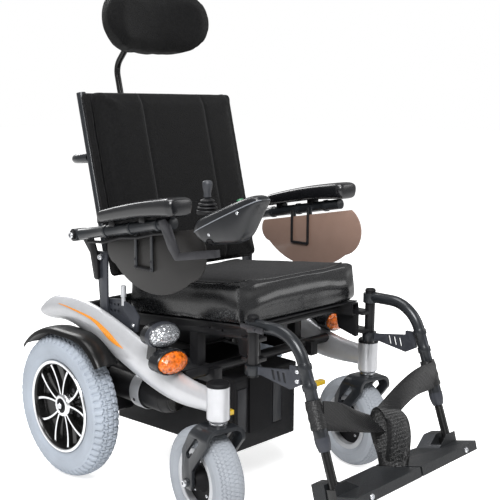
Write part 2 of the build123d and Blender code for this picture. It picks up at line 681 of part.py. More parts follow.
def make_back():
    """Canes on the hinge pins, the padded back and its panel, and the push bar."""
    _, pivot_y, pivot_z = BACK_PIVOT
    with BuildPart() as back_canes:
        for side in SIDES.values():
            x = side * CANE_X
            low = (x, *back_point(0, 0))
            high = (x, *back_point(CANE_LENGTH, 0))
            rod(low, high, CANE_R)
            cross_rod(x - CANE_R - 0.5, x + CANE_R + 0.5, pivot_y, pivot_z, CANE_R + 0.1)
            cross_rod(x - 20, x + 20, pivot_y, pivot_z, HINGE_PIN_R + RUNNING_GAP, mode=Mode.SUBTRACT)
        for up in (90, 330):
            y, z = back_point(up, 0)
            cross_rod(-CANE_X, CANE_X, y, z, 8)
    write(back_canes, "back_canes")

    with BuildPart() as back_panel:
        back_slab((BACK_BOTTOM + 5, BACK_TOP), (CANE_R + 0.2, PANEL_FRONT), 238)
        fillet(back_panel.edges().filter_by(lambda edge: 3 < edge.length < 5), 12)
    write(back_panel, "back_panel")

    with BuildPart() as back_cushion:
        back_slab((BACK_BOTTOM, BACK_TOP), (PANEL_FRONT + 0.3, BACK_CUSHION_FRONT), 222)
        fillet(back_cushion.edges(), 14)
    write(back_cushion, "back_cushion")

    with BuildPart() as push_bar:
        root_y = back_point(240, -CANE_R + 2)[0]
        route = [
            (-CANE_X, root_y, PUSH_BAR_Z + 9),
            (-CANE_X, PUSH_BAR_Y, PUSH_BAR_Z),
            (CANE_X, PUSH_BAR_Y, PUSH_BAR_Z),
            (CANE_X, root_y, PUSH_BAR_Z + 9),
        ]
        bent_tube(route, 45, PUSH_BAR_R, PUSH_BAR_R - 2)
        low = (HEADREST_X - 24, PUSH_BAR_Y + 4, PUSH_BAR_Z - 22)
        high = (HEADREST_X + 24, PUSH_BAR_Y + 36, PUSH_BAR_Z + 22)
        block(low, high)
        fillet(push_bar.edges().filter_by(Axis.Z), 4)
        rod(*stem_line(700, 860), STEM_TUBE_R + RUNNING_GAP, mode=Mode.SUBTRACT)
    write(push_bar, "push_bar")


def stem_line(low_z, high_z):
    """Two points on the line of the headrest stem, which runs up behind the push bar."""
    lean = tan(radians(BACK_TILT))
    base_y = PUSH_BAR_Y + 21
    low = (HEADREST_X, base_y + (low_z - PUSH_BAR_Z) * lean, low_z)
    high = (HEADREST_X, base_y + (high_z - PUSH_BAR_Z) * lean, high_z)
    return low, high


def make_headrest():
    """Bent headrest stem and the curved pad hinged on its end."""
    pivot_x, pivot_y, pivot_z = HEADREST_PIVOT
    with BuildPart() as headrest_stem:
        foot, bend = stem_line(690, 1010)
        bent_tube([foot, bend, (HEADREST_X, pivot_y + 6, pivot_z - 6)], 45, STEM_TUBE_R, 0)
        cross_rod(pivot_x - 9.5, pivot_x + 9.5, pivot_y, pivot_z, 12)
        cross_rod(pivot_x - 10, pivot_x + 10, pivot_y, pivot_z, 4 + RUNNING_GAP, mode=Mode.SUBTRACT)
    write(headrest_stem, "headrest_stem")

    with BuildPart() as headrest_bracket:
        cross_rod(pivot_x - 16, pivot_x + 16, pivot_y, pivot_z, 4)
        for x in (pivot_x - 16, pivot_x + 10):
            ear = [(HEADREST_BACK_Y, 1080), (pivot_y, 1080), (pivot_y + 12, 1092), (pivot_y, 1104)]
            ear += [(HEADREST_BACK_Y, 1104)]
            side_slab(ear, x, 6, 3)
        block((pivot_x - 36, HEADREST_BACK_Y, 1070), (pivot_x + 36, HEADREST_BACK_Y + 5, 1114))
        fillet(headrest_bracket.edges().filter_by(Axis.Y).group_by(SortBy.LENGTH)[0], 2)
    write(headrest_bracket, "headrest_bracket")

    back_r = 340.0
    pad_depth = 54.0
    centre_y = HEADREST_BACK_Y - back_r
    with BuildPart() as headrest_pad:
        with BuildSketch(Plane.XY.offset(HEADREST_BOTTOM)) as plan:
            with Locations((HEADREST_X, centre_y)):
                Circle(back_r)
                Circle(back_r - pad_depth, mode=Mode.SUBTRACT)
            with Locations((HEADREST_X, centre_y - back_r + 240)):
                Rectangle(4 * back_r, 2 * back_r, mode=Mode.SUBTRACT)
        extrude(amount=HEADREST_HEIGHT)
        front = Plane(
            origin=(HEADREST_X, HEADREST_BACK_Y + 10, HEADREST_BOTTOM + HEADREST_HEIGHT / 2),
            x_dir=(1, 0, 0),
            z_dir=(0, -1, 0),
        )
        with BuildSketch(front):
            RectangleRounded(2 * HEADREST_HALF_WIDTH, HEADREST_HEIGHT, 62)
        extrude(amount=250, mode=Mode.INTERSECT)
    write(headrest_pad, "headrest_pad")


# ---------------------------------------------------------------- armrests and controller


def make_armrest(hand, side):
    """Flip-up armrest: tube with guard rods, moulded pad and clear side guard."""
    x = side * ARMREST_X
    guard_face = side * (GUARD_X + GUARD_THICKNESS)
    with BuildPart() as armrest_tube:
        rod((x, *armrest_point(0, 0)), (x, *armrest_point(ARMREST_TUBE_LENGTH, 0)), ARMREST_TUBE_R)
        for forward in (112, 205, 300):
            rod((x, *armrest_point(forward, 0)), (x, *armrest_point(forward + 9, 0)), ARMREST_TUBE_R + 2)
        cross_rod(x - 14, x + 14, ARMREST_PIVOT_Y, ARMREST_PIVOT_Z, 15)
        for forward in (150, 260):
            foot = (x, *armrest_point(forward, 6))
            head = (x, *armrest_point(forward, 19))
            rod(foot, head, 8)
        for forward in (206, 262):
            rod_x = side * (GUARD_X + GUARD_THICKNESS + 4.3)
            y, z = armrest_point(forward, 0)
            rod((rod_x, y, z), (rod_x, y, 548), 4)
            arm = sorted((guard_face, x))
            block((arm[0], y - 5, z - 5), (arm[1], y + 5, z + 5))
        cross_rod(x - 20, x + 20, ARMREST_PIVOT_Y, ARMREST_PIVOT_Z, HINGE_PIN_R + RUNNING_GAP,
                  mode=Mode.SUBTRACT)
    write(armrest_tube, f"armrest_tube_{hand}")

    with BuildPart() as armrest_pad:
        inner = x - PAD_HALF_WIDTH
        with BuildSketch(side_plane(inner)):
            with BuildLine():
                start = armrest_point(124, 19.5)
                heel = armrest_point(150, 19.5)
                waist = armrest_point(268, 19.5)
                Polyline(start, heel, waist)
                ThreePointArc(waist, (-38, 677), (-66, 679))
                ThreePointArc((-66, 679), (-84, 700), (-64, 721))
                ThreePointArc((-64, 721), (0, 712), (166, 676))
                Line((166, 676), start)
            make_face()
        extrude(amount=2 * PAD_HALF_WIDTH)
    write(armrest_pad, f"armrest_pad_{hand}")

    with BuildPart() as side_guard:
        with BuildSketch(side_plane(min(guard_face, side * GUARD_X))):
            with BuildLine():
                rear_top = armrest_point(96, -18)
                front_top = armrest_point(400, -18)
                Line(rear_top, front_top)
                ThreePointArc(front_top, (-140, 600), (-92, 540))
                ThreePointArc((-92, 540), (50, 497), (170, 548))
                ThreePointArc((170, 548), (197, 572), rear_top)
            make_face()
        extrude(amount=GUARD_THICKNESS)
    write(side_guard, f"side_guard_{hand}")


def pod_point(along, up):
    """Y and Z of a point along the controller's seam and square to it."""
    run_y = POD_NOSE[0] - POD_TAIL[0]
    run_z = POD_NOSE[1] - POD_TAIL[1]
    length = sqrt(run_y**2 + run_z**2)
    y = POD_TAIL[0] + along * run_y / length + up * run_z / length
    z = POD_TAIL[1] + along * run_z / length - up * run_y / length
    return y, z


def make_controller():
    """Joystick controller: bracket bar, two shells, boot, joystick, button and cable."""
    x = -ARMREST_X
    with BuildPart() as controller_bracket:
        link = [(-30, 668), (-52, 676), (-64, 664), (-100, 596), (-84, 590), (-62, 612)]
        side_slab(link, x - ARMREST_TUBE_R - 6.3, 6, 3)
        bar_low = [(-84, 590), (-205, 611), (-202, 627), (-98, 608)]
        side_slab(bar_low, x - ARMREST_TUBE_R - 6.3, 15, 2)
        cross_rod(x - ARMREST_TUBE_R - 7, x - 6, -48, 664.5, 9)
    write(controller_bracket, "controller_bracket")

    length = sqrt((POD_NOSE[0] - POD_TAIL[0]) ** 2 + (POD_NOSE[1] - POD_TAIL[1]) ** 2)
    base_line = [pod_point(0, 0), (-152, 638), (-176, 632), (-266, 646), (-300, 690), pod_point(length, 0)]
    with BuildPart() as controller_base:
        side_slab(base_line, x - POD_HALF_WIDTH, 2 * POD_HALF_WIDTH)
        fillet(controller_base.edges().filter_by(Axis.X).group_by(Axis.Z)[0:2][0], 5)
        hollow = [pod_point(4, 1), (-154, 642), (-177, 636), (-263, 650), (-294, 690), pod_point(length - 8, 1)]
        side_slab(hollow, x - POD_HALF_WIDTH + POD_SHELL, 2 * (POD_HALF_WIDTH - POD_SHELL), mode=Mode.SUBTRACT)
        block((x - 19, -214, 618), (x + 4, -150, 637.5))
        bar_hole = [(-80, 588.4), (-215, 611.8), (-212, 629.8), (-77, 606.2)]
        side_slab(bar_hole, x - ARMREST_TUBE_R - 6.8, 16, mode=Mode.SUBTRACT)
    write(controller_base, "controller_base")

    with BuildPart() as controller_cover:
        outline = [pod_point(0, 0), pod_point(5, 20), pod_point(22, 24), pod_point(length - 12, 19)]
        outline += [pod_point(length, 0)]
        side_slab(outline, x - POD_HALF_WIDTH, 2 * POD_HALF_WIDTH)
        hollow = [pod_point(3, -1), pod_point(8, 17.5), pod_point(length - 16, 16.5), pod_point(length - 6, -1)]
        side_slab(hollow, x - POD_HALF_WIDTH + POD_SHELL, 2 * (POD_HALF_WIDTH - POD_SHELL), mode=Mode.SUBTRACT)
        rod((x, JOYSTICK_Y, 660), (x, JOYSTICK_Y, 720), BOOT_R + 4, mode=Mode.SUBTRACT)
        rod((x, *pod_point(130, 14)), (x, *pod_point(130, 30)), 7.4, mode=Mode.SUBTRACT)
    write(controller_cover, "controller_cover")

    with BuildPart() as power_button:
        rod((x, *pod_point(130, 15)), (x, *pod_point(130, 23)), 7)
    write(power_button, "power_button")

    with BuildPart() as joystick_boot:
        for low, high, radius in ((694, 699, 22), (699, 702, 18), (702, 707, BOOT_R), (707, 710, 18)):
            rod((x, JOYSTICK_Y, low), (x, JOYSTICK_Y, high), radius)
        with BuildSketch(Plane.XY.offset(710)):
            with Locations((x, JOYSTICK_Y)):
                Circle(BOOT_R)
        extrude(amount=4)
        with BuildSketch(Plane.XY.offset(714)):
            with Locations((x, JOYSTICK_Y)):
                Circle(BOOT_R)
        extrude(amount=12, taper=48)
        rod((x, JOYSTICK_Y, 690), (x, JOYSTICK_Y, 730), 5.4, mode=Mode.SUBTRACT)
        rod((x, JOYSTICK_Y, 690), (x, JOYSTICK_Y, 708), 16, mode=Mode.SUBTRACT)
        for side in SIDES.values():
            cross_rod(x + side * 15.5, x + side * 26, JOYSTICK_Y, JOYSTICK_PIVOT_Z, 3)
    write(joystick_boot, "joystick_boot")

    with BuildPart() as joystick:
        with BuildSketch(wheel_plane(x, JOYSTICK_Y, 0)):
            with BuildLine():
                Polyline((0, 692), (5, 692), (5, 728), (7, 728), (8, 734))
                ThreePointArc((8, 734), (10.2, 743), (10.5, 752))
                ThreePointArc((10.5, 752), (8.4, 759.4), (3, 762))
                Polyline((3, 762), (0, 762), (0, 692))
            make_face()
        revolve(axis=Axis((x, JOYSTICK_Y, 0), (0, 0, 1)))
        rod((x, JOYSTICK_Y - 9, JOYSTICK_PIVOT_Z), (x, JOYSTICK_Y + 9, JOYSTICK_PIVOT_Z), 2)
    write(joystick, "joystick")

    with BuildPart() as controller_cable:
        route = [
            (x, *armrest_point(340, -20)),
            (x, *armrest_point(285, -19)),
            (x, *armrest_point(225, -23)),
            (x, *armrest_point(165, -19)),
            (x, *armrest_point(100, -25)),
            (x, *armrest_point(36, -19)),
        ]
        bent_tube(route, 60, 3.5, 0)
    write(controller_cable, "controller_cable")


# ---------------------------------------------------------------- legrests


def make_legrest(hand, side):
    """Swing-away hanger with its latch, extending footrest tube, straps and footplate."""
    x = side * POST_X
    bend_y, bend_z = hanger_point(0)
    tip = hanger_point(SLEEVE_LENGTH)
    with BuildPart() as hanger:
        drop = radians(HANGER_DROP)
        with BuildLine() as route:
            run = Line((x, POST_Y - 12, HANGER_Z), (x, HANGER_BEND_Y, HANGER_Z))
            mid = radians(90 - (90 - HANGER_DROP) / 2)
            halfway = (x, HANGER_BEND_Y - HANGER_BEND_R * cos(mid), HANGER_Z - HANGER_BEND_R * (1 - sin(mid)))
            bend = ThreePointArc(run @ 1, halfway, (x, bend_y, bend_z))
            Line(bend @ 1, (x, *tip))
        with BuildSketch(Plane(origin=(x, POST_Y - 12, HANGER_Z), z_dir=(0, -1, 0))):
            Circle(HANGER_TUBE_R)
        sweep(path=route.line)
        for along in (0, 40):
            rod((x, *hanger_point(along)), (x, *hanger_point(along + 12)), HANGER_TUBE_R + 2)
        rod((x, *hanger_point(SLEEVE_LENGTH - 30)), (x, *tip), HANGER_TUBE_R + 2)
        for low, high in ((448, 470), (356, 376)):
            rod((x, POST_Y, low), (x, POST_Y, high), POST_R + 5)
        arm = [(POST_Y - 10, 357), (-245, 359), (-324, 347), (-352, 362), (-352, 398), (-322, 398)]
        arm += [(-322, 388), (-245, 376), (POST_Y - 10, 375)]
        side_slab(arm, x - 3, 6, 2)
        for step in range(3):
            slot_y = -272 - 15 * step
            slot = [(slot_y, 378), (slot_y - 6, 378), (slot_y - 12, 358), (slot_y - 6, 358)]
            side_slab(slot, x - 4, 8, mode=Mode.SUBTRACT)
        rod((x, POST_Y, 340), (x, POST_Y, 480), POST_R + RUNNING_GAP, mode=Mode.SUBTRACT)
        rod((x, *hanger_point(30)), (x, *hanger_point(SLEEVE_LENGTH + 5)), FOOTREST_TUBE_R + RUNNING_GAP,
            mode=Mode.SUBTRACT)
    write(hanger, f"hanger_{hand}")

    latch_x = x + side * 17.5
    with BuildPart() as legrest_latch:
        outline = [(POST_Y + 16, 456), (POST_Y + 16, 466), (-262, 464), (-266, 458), (-262, 452)]
        side_slab(outline, min(latch_x, latch_x + side * 5), 5, 2)
        cross_rod(latch_x, latch_x + side * 8, -240, 458.5, 4)
    write(legrest_latch, f"legrest_latch_{hand}")

    make_calf_strap(hand, side)
    make_footrest(hand, side)


def make_calf_strap(hand, side):
    """Half of the calf strap, with its sleeve around the hanger and its band to the middle."""
    x = side * POST_X
    sleeve_start = 66.0
    sleeve_end = sleeve_start + STRAP_HEIGHT
    with BuildPart() as calf_strap:
        outer_r = HANGER_TUBE_R + STRAP_THICKNESS
        rod((x, *hanger_point(sleeve_start)), (x, *hanger_point(sleeve_end)), outer_r)
        wrap_y, wrap_z = hanger_point((sleeve_start + sleeve_end) / 2)
        top = wrap_z + STRAP_HEIGHT / 2
        middle_top = top - 75
        band = [
            (side * 0.6, middle_top - STRAP_HEIGHT),
            (x - side * 8, top - STRAP_HEIGHT + 2),
            (x - side * 8, top - 2),
            (side * 0.6, middle_top),
        ]
        face = Plane(origin=(0, wrap_y, 0), x_dir=(1, 0, 0), z_dir=(0, -1, 0))
        with BuildSketch(face):
            with BuildLine():
                Polyline(*band, close=True)
            make_face()
        extrude(amount=STRAP_THICKNESS)
        rod((x, *hanger_point(40)), (x, *hanger_point(SLEEVE_LENGTH)), HANGER_TUBE_R + RUNNING_GAP,
            mode=Mode.SUBTRACT)
    write(calf_strap, f"calf_strap_{hand}")


def foot_plane(x, back, up):
    """A plane parallel to the footplate's top, x across the chair and y rearward."""
    tilt = radians(FOOTPLATE_TILT)
    normal = Vector(0, sin(tilt), cos(tilt))
    rearward = Vector(0, cos(tilt), -sin(tilt))
    origin = Vector(*FOOTPLATE_ORIGIN) + Vector(x, 0, 0) + back * rearward + up * normal
    return Plane(origin=origin, x_dir=(1, 0, 0), z_dir=normal)


def foot_block(low, high, mode=Mode.ADD):
    """A box in the footplate's own frame."""
    with BuildSketch(foot_plane(0, 0, low[2])) as base:
        with Locations(((low[0] + high[0]) / 2, (low[1] + high[1]) / 2)):
            Rectangle(high[0] - low[0], high[1] - low[1])
    extrude(base.sketch, amount=high[2] - low[2], mode=mode)


def make_footrest(hand, side):
    """Extending tube with its clevis, and the footplate that flips up about it."""
    x = side * POST_X
    slot_back = 4.5
    slot_half = 14.0
    half = FOOTPLATE_THICKNESS / 2
    with BuildPart() as footrest_tube:
        rod((x, *hanger_point(80)), (x, *hanger_point(256)), FOOTREST_TUBE_R)
        clamp = sorted((x - side * 14, x + side * 12))
        foot_block((clamp[0], slot_back - 12.5, -7), (clamp[1], slot_back + 12.5, 22))
        lug = sorted((side * FLIP_X, x))
        foot_block((lug[0], slot_back - 12.5, -8), (lug[1], slot_back + 12.5, 8))
        pin_start = foot_plane(side * FLIP_X, slot_back - 13, 0).origin
        pin_end = foot_plane(side * FLIP_X, slot_back + 13, 0).origin
        rod(tuple(pin_start), tuple(pin_end), 9)
        front = foot_plane(side * FLIP_X, -FOOTPLATE_HALF_LENGTH + 6, 0).origin
        rear = foot_plane(side * FLIP_X, FOOTPLATE_HALF_LENGTH - 6, 0).origin
        rod(tuple(front), tuple(rear), FLIP_PIN_R)
    write(footrest_tube, f"footrest_tube_{hand}")

    with BuildPart() as footplate:
        plan = [
            (side * FOOTPLATE_INNER_X, -FOOTPLATE_HALF_LENGTH),
            (side * FOOTPLATE_OUTER_X, -FOOTPLATE_HALF_LENGTH),
            (side * FOOTPLATE_OUTER_X, FOOTPLATE_HALF_LENGTH - 8),
            (side * (FLIP_X - 20), FOOTPLATE_HALF_LENGTH - 8),
            (side * 120, FOOTPLATE_HALF_LENGTH),
            (side * FOOTPLATE_INNER_X, FOOTPLATE_HALF_LENGTH),
        ]
        with BuildSketch(foot_plane(0, 0, -half)):
            with BuildLine():
                Polyline(*plan, close=True)
            make_face()
        extrude(amount=FOOTPLATE_THICKNESS)
        wedge = Plane(
            origin=foot_plane(0, FOOTPLATE_HALF_LENGTH - 8, 0).origin,
            x_dir=(1, 0, 0),
            z_dir=-foot_plane(0, 0, 0).y_dir,
        )
        with BuildSketch(wedge):
            with BuildLine():
                Polyline(
                    (side * FOOTPLATE_OUTER_X, 0),
                    (side * FOOTPLATE_OUTER_X, half + 22),
                    (side * (FLIP_X + 10), half + 22),
                    (side * (FLIP_X - 26), half),
                    (side * (FLIP_X - 26), 0),
                    close=True,
                )
            make_face()
        extrude(amount=62)
        gap = sorted((side * (FLIP_X - 17), side * (FOOTPLATE_OUTER_X + 5)))
        foot_block((gap[0], slot_back - slot_half, -40), (gap[1], slot_back + slot_half, 50), Mode.SUBTRACT)
        front = foot_plane(side * FLIP_X, -FOOTPLATE_HALF_LENGTH - 5, 0).origin
        rear = foot_plane(side * FLIP_X, FOOTPLATE_HALF_LENGTH + 5, 0).origin
        rod(tuple(front), tuple(rear), FLIP_PIN_R + RUNNING_GAP, mode=Mode.SUBTRACT)
    write(footplate, f"footplate_{hand}")


def make_heel_strap():
    """Upright webbing from the right footplate's inner end to the calf strap."""
    with BuildPart() as heel_strap:
        top = 286.0
        rear = foot_plane(0, 50, FOOTPLATE_THICKNESS / 2 + 0.4).origin
        front = foot_plane(0, 2, FOOTPLATE_THICKNESS / 2 + 0.4).origin
        outline = [(rear.Y, rear.Z), (front.Y, front.Z), (-456, top), (-411, top)]
        side_slab(outline, -10, STRAP_THICKNESS)
    write(heel_strap, "heel_strap")


make_side_frames()
make_head_tube_parts()
make_chassis_frame()
make_battery_box()
make_drive_units()
make_mudguards()
make_lamps()
make_seat()
make_back_hinges()
make_armrest_brackets()
make_back()
make_headrest()
make_controller()
make_heel_strap()
for hand, side in SIDES.items():
    make_drive_wheel(hand, side)
    make_caster(hand, side)
    make_armrest(hand, side)
    make_legrest(hand, side)
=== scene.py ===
"""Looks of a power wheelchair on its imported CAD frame.

Metres, +Z up. The chair faces -Y and its occupant's right is -X.
"""

import json
from math import copysign, cos, exp, hypot, pi, radians, sin, sqrt

import bmesh
import bpy
import numpy as np
from mathutils import Matrix, Vector, noise
from mathutils.bvhtree import BVHTree

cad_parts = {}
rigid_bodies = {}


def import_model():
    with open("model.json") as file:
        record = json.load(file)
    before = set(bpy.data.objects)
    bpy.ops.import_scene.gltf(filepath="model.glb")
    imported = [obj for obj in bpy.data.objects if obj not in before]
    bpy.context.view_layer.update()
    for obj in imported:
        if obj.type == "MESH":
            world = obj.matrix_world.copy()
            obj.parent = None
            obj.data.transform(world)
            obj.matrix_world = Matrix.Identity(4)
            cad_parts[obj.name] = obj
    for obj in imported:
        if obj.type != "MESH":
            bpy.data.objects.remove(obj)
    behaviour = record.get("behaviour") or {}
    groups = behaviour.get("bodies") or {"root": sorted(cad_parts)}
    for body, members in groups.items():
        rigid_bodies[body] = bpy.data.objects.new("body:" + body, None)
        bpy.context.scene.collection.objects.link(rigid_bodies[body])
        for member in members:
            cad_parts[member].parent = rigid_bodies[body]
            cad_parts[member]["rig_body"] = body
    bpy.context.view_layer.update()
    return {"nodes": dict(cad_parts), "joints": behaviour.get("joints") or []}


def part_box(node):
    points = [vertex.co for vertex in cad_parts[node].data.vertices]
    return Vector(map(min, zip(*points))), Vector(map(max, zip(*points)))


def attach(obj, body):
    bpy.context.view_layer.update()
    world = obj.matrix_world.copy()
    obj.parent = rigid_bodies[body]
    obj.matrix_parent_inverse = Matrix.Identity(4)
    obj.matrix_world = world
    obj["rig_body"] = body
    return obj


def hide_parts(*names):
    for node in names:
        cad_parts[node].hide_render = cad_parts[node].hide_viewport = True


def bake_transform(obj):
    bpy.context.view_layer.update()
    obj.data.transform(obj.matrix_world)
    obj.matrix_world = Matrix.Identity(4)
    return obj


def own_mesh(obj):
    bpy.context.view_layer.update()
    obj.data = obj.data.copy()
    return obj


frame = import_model()
SIDES = {"right": -1, "left": 1}
UP = Vector((0, 0, 1))
ACROSS = Vector((1, 0, 0))
RAY_START = 0.1
SURFACE_LIFT = 0.0004
SOFT_ANGLE = 80.0


# ---------------------------------------------------------------- materials


# A bump is its texture, scale, depth and settings.
GRAIN = ("Noise", 900.0, 0.00012, {"Detail": 2.0})
ORANGE_PEEL = ("Noise", 260.0, 0.00005, {"Detail": 1.0})
LEATHER = ("Noise", 480.0, 0.00003, {"Detail": 1.0})
CREASES = ("Noise", 24.0, 0.0007, {"Detail": 1.0})
WEAVE = ("Voronoi", 330.0, 0.0011, {})
STRAP_WEAVE = ("Voronoi", 420.0, 0.0004, {})
CORDS = ("Wave", 110.0, 0.0006, {"bands_direction": "Z", "Distortion": 0.2})
RIBS = ("Wave", 190.0, 0.0006, {"bands_direction": "DIAGONAL", "Distortion": 0.4})


def new_material(name):
    """A node material, its Principled shader and object coordinates."""
    made = bpy.data.materials.new(name)
    made.use_nodes = True
    tree = made.node_tree
    coordinates = tree.nodes.new("ShaderNodeTexCoord").outputs["Object"]
    return made, tree, tree.nodes["Principled BSDF"], coordinates


def ramp_between(tree, factor, low, high):
    """A colour ramp between two colours."""
    ramp = tree.nodes.new("ShaderNodeValToRGB")
    for stop, position, colour in zip(ramp.color_ramp.elements, (0.3, 0.7), (low, high)):
        stop.position = position
        stop.color = (*colour, 1)
    tree.links.new(factor, ramp.inputs["Fac"])
    return ramp.outputs["Color"]


def texture(tree, coordinates, kind, scale, **settings):
    """A procedural texture's factor output."""
    node = tree.nodes.new(f"ShaderNodeTex{kind}")
    node.inputs["Scale"].default_value = scale
    for key, value in settings.items():
        if hasattr(node, key):
            setattr(node, key, value)
        else:
            node.inputs[key].default_value = value
    tree.links.new(coordinates, node.inputs["Vector"])
    return node.outputs["Distance" if kind == "Voronoi" else "Fac"]


def material(name, colour, roughness, metallic=0.0, coat=0.0, spread=0.12, patch=35.0, bumps=(GRAIN,),
             gleam=0.5, **sockets):
    """Paint, metal, plastic or cloth, whose colour and roughness vary a little."""
    made, tree, shader, coordinates = new_material(name)
    cloud = texture(tree, coordinates, "Noise", patch, Detail=5.0)
    low = [c * (1 - spread) for c in colour]
    high = [min(1.0, c * (1 + spread)) for c in colour]
    tree.links.new(ramp_between(tree, cloud, low, high), shader.inputs["Base Color"])
    fine = texture(tree, coordinates, "Noise", patch * 6, Detail=3.0)
    spanned = tree.nodes.new("ShaderNodeMapRange")
    spanned.inputs["To Min"].default_value = max(0.02, roughness * 0.88)
    spanned.inputs["To Max"].default_value = min(1.0, roughness * 1.12)
    tree.links.new(fine, spanned.inputs["Value"])
    tree.links.new(spanned.outputs["Result"], shader.inputs["Roughness"])
    shader.inputs["Metallic"].default_value = metallic
    shader.inputs["Coat Weight"].default_value = coat
    shader.inputs["Coat Roughness"].default_value = 0.12
    shader.inputs["Specular IOR Level"].default_value = gleam
    for socket, value in sockets.items():
        shader.inputs[socket.replace("_", " ")].default_value = value
    normal = None
    for kind, scale, depth, settings in bumps:
        bump = tree.nodes.new("ShaderNodeBump")
        bump.inputs["Strength"].default_value = 1.0
        bump.inputs["Distance"].default_value = depth
        tree.links.new(texture(tree, coordinates, kind, scale, **settings), bump.inputs["Height"])
        if normal:
            tree.links.new(normal, bump.inputs["Normal"])
        normal = bump.outputs["Normal"]
    if normal:
        tree.links.new(normal, shader.inputs["Normal"])
    return made


M = {
    "pearl": material("pearl_paint", (0.49, 0.496, 0.515), 0.30, 0.35, 0.35, 0.05, bumps=[ORANGE_PEEL]),
    "orange": material("orange_stripe", (0.82, 0.285, 0.012), 0.28, 0.1, 0.6, 0.05, bumps=[ORANGE_PEEL]),
    "black_paint": material("black_paint", (0.008, 0.008, 0.009), 0.36, 0.0, 0.06, 0.2, gleam=0.22),
    "gunmetal": material("gunmetal_paint", (0.017, 0.019, 0.022), 0.30, 0.25, 0.10, 0.15, bumps=[ORANGE_PEEL],
                         gleam=0.4),
    "slate": material("slate_paint", (0.036, 0.039, 0.048), 0.36, 0.2, 0.06, 0.12, gleam=0.3),
    "gloss_black": material("gloss_black", (0.006, 0.006, 0.006), 0.24, 0.0, 0.25, 0.2, bumps=[ORANGE_PEEL],
                            gleam=0.25),
    "matt_black": material("matt_black_plastic", (0.006, 0.006, 0.007), 0.6, spread=0.2, gleam=0.15),
    "box_black": material("box_plastic", (0.007, 0.007, 0.008), 0.5, spread=0.2, gleam=0.18),
    "panel_grey": material("panel_plastic", (0.020, 0.021, 0.024), 0.34, coat=0.05, spread=0.1, gleam=0.3),
    "steel": material("bright_steel", (0.58, 0.59, 0.61), 0.26, 1.0, spread=0.08),
    "machined": material("machined_rim", (0.74, 0.75, 0.77), 0.22, 1.0, spread=0.05, bumps=()),
    "white_alloy": material("white_alloy", (0.46, 0.47, 0.49), 0.34, 0.5, 0.3, 0.05, bumps=[ORANGE_PEEL]),
    "zinc": material("dark_zinc", (0.045, 0.045, 0.050), 0.36, 0.7, spread=0.2),
    "tyre": material("grey_tyre", (0.33, 0.366, 0.418), 0.66, spread=0.07, patch=16.0),
    # Partly painted shade: the same rubber as the drive tyre, made darker as a middle ground between the lit
    # near caster and the shaded far one.
    "caster_tyre": material("caster_tyre", (0.275, 0.295, 0.325), 0.62, spread=0.07, patch=16.0),
    "rubber": material("black_rubber", (0.007, 0.007, 0.008), 0.48, spread=0.2, gleam=0.25),
    "knob": material("grey_rubber", (0.030, 0.032, 0.037), 0.42, spread=0.12, gleam=0.35),
    "seat_mesh": material("seat_mesh_cloth", (0.011, 0.011, 0.012), 0.75, spread=0.3, patch=140.0,
                          bumps=[WEAVE], gleam=0.2, Sheen_Weight=0.05, Sheen_Roughness=0.5),
    "vinyl": material("seat_vinyl", (0.0065, 0.0067, 0.0075), 0.27, coat=0.15, spread=0.2,
                      bumps=[LEATHER, CREASES], gleam=0.55),
    "back_cloth": material("back_cloth", (0.0040, 0.0040, 0.0043), 0.8, spread=0.35, patch=160.0,
                           bumps=[WEAVE, RIBS], gleam=0.12, Sheen_Weight=0.03, Sheen_Roughness=0.45),
    "pad": material("moulded_pad", (0.006, 0.0063, 0.0075), 0.25, coat=0.15, spread=0.12, bumps=[LEATHER],
                    gleam=0.55),
    "pod": material("controller_plastic", (0.0065, 0.0072, 0.009), 0.30, coat=0.06, spread=0.06, gleam=0.4),
    "seam_grey": material("pod_seam", (0.16, 0.17, 0.19), 0.4, spread=0.08),
    "yellow": material("yellow_plastic", (0.72, 0.47, 0.02), 0.38, coat=0.2, spread=0.06),
    "green": material("button_green", (0.03, 0.16, 0.07), 0.4, spread=0.08),
    "webbing": material("webbing", (0.004, 0.004, 0.0045), 0.33, coat=0.05, spread=0.25, patch=120.0,
                        bumps=[CORDS, STRAP_WEAVE],
                        gleam=0.38, Sheen_Weight=0.02),
    "thread": material("thread", (0.012, 0.012, 0.013), 0.8, spread=0.15),
    "foot": material("footplate_plastic", (0.011, 0.012, 0.0135), 0.45, spread=0.14,
                     bumps=[("Voronoi", 420.0, 0.0005, {})], gleam=0.3),
    "foot_edge": material("footplate_edge", (0.026, 0.028, 0.032), 0.40, spread=0.1, gleam=0.35),
    "reflector": material("lamp_reflector", (0.50, 0.51, 0.53), 0.12, 1.0, spread=0.6, patch=120.0,
                          bumps=[("Voronoi", 150.0, 0.0035, {})]),
    "amber": material("amber_lens", (0.62, 0.125, 0.006), 0.10, coat=0.5, spread=0.65, patch=110.0,
                      bumps=[("Voronoi", 170.0, 0.0020, {})], Subsurface_Weight=0.15, Subsurface_Scale=0.01),
    "lamp_rim": material("lamp_rim", (0.010, 0.0105, 0.012), 0.25, coat=0.2, spread=0.15, gleam=0.3),
    "clear": material("clear_lens", (0.50, 0.52, 0.55), 0.05, coat=0.3, spread=0.03, Alpha=0.22, bumps=()),
    "smoke": material("smoked_guard", (0.230, 0.148, 0.116), 0.26, coat=0.1, spread=0.03, gleam=0.3,
                      Alpha=0.90, bumps=()),
    # Painted shade: the near guard gets a darker, nearly opaque copy of the smoked plastic, standing for the
    # dark seat and back seen through it.
    "smoke_painted_shade": material("smoked_guard_painted_shade", (0.021, 0.020, 0.0195), 0.34, coat=0.0, spread=0.05,
                           gleam=0.25, Alpha=0.96, bumps=()),
    "guard_black": material("guard_black", (0.005, 0.005, 0.005), 0.30, coat=0.05, spread=0.2,
                            bumps=[ORANGE_PEEL], gleam=0.18),
}
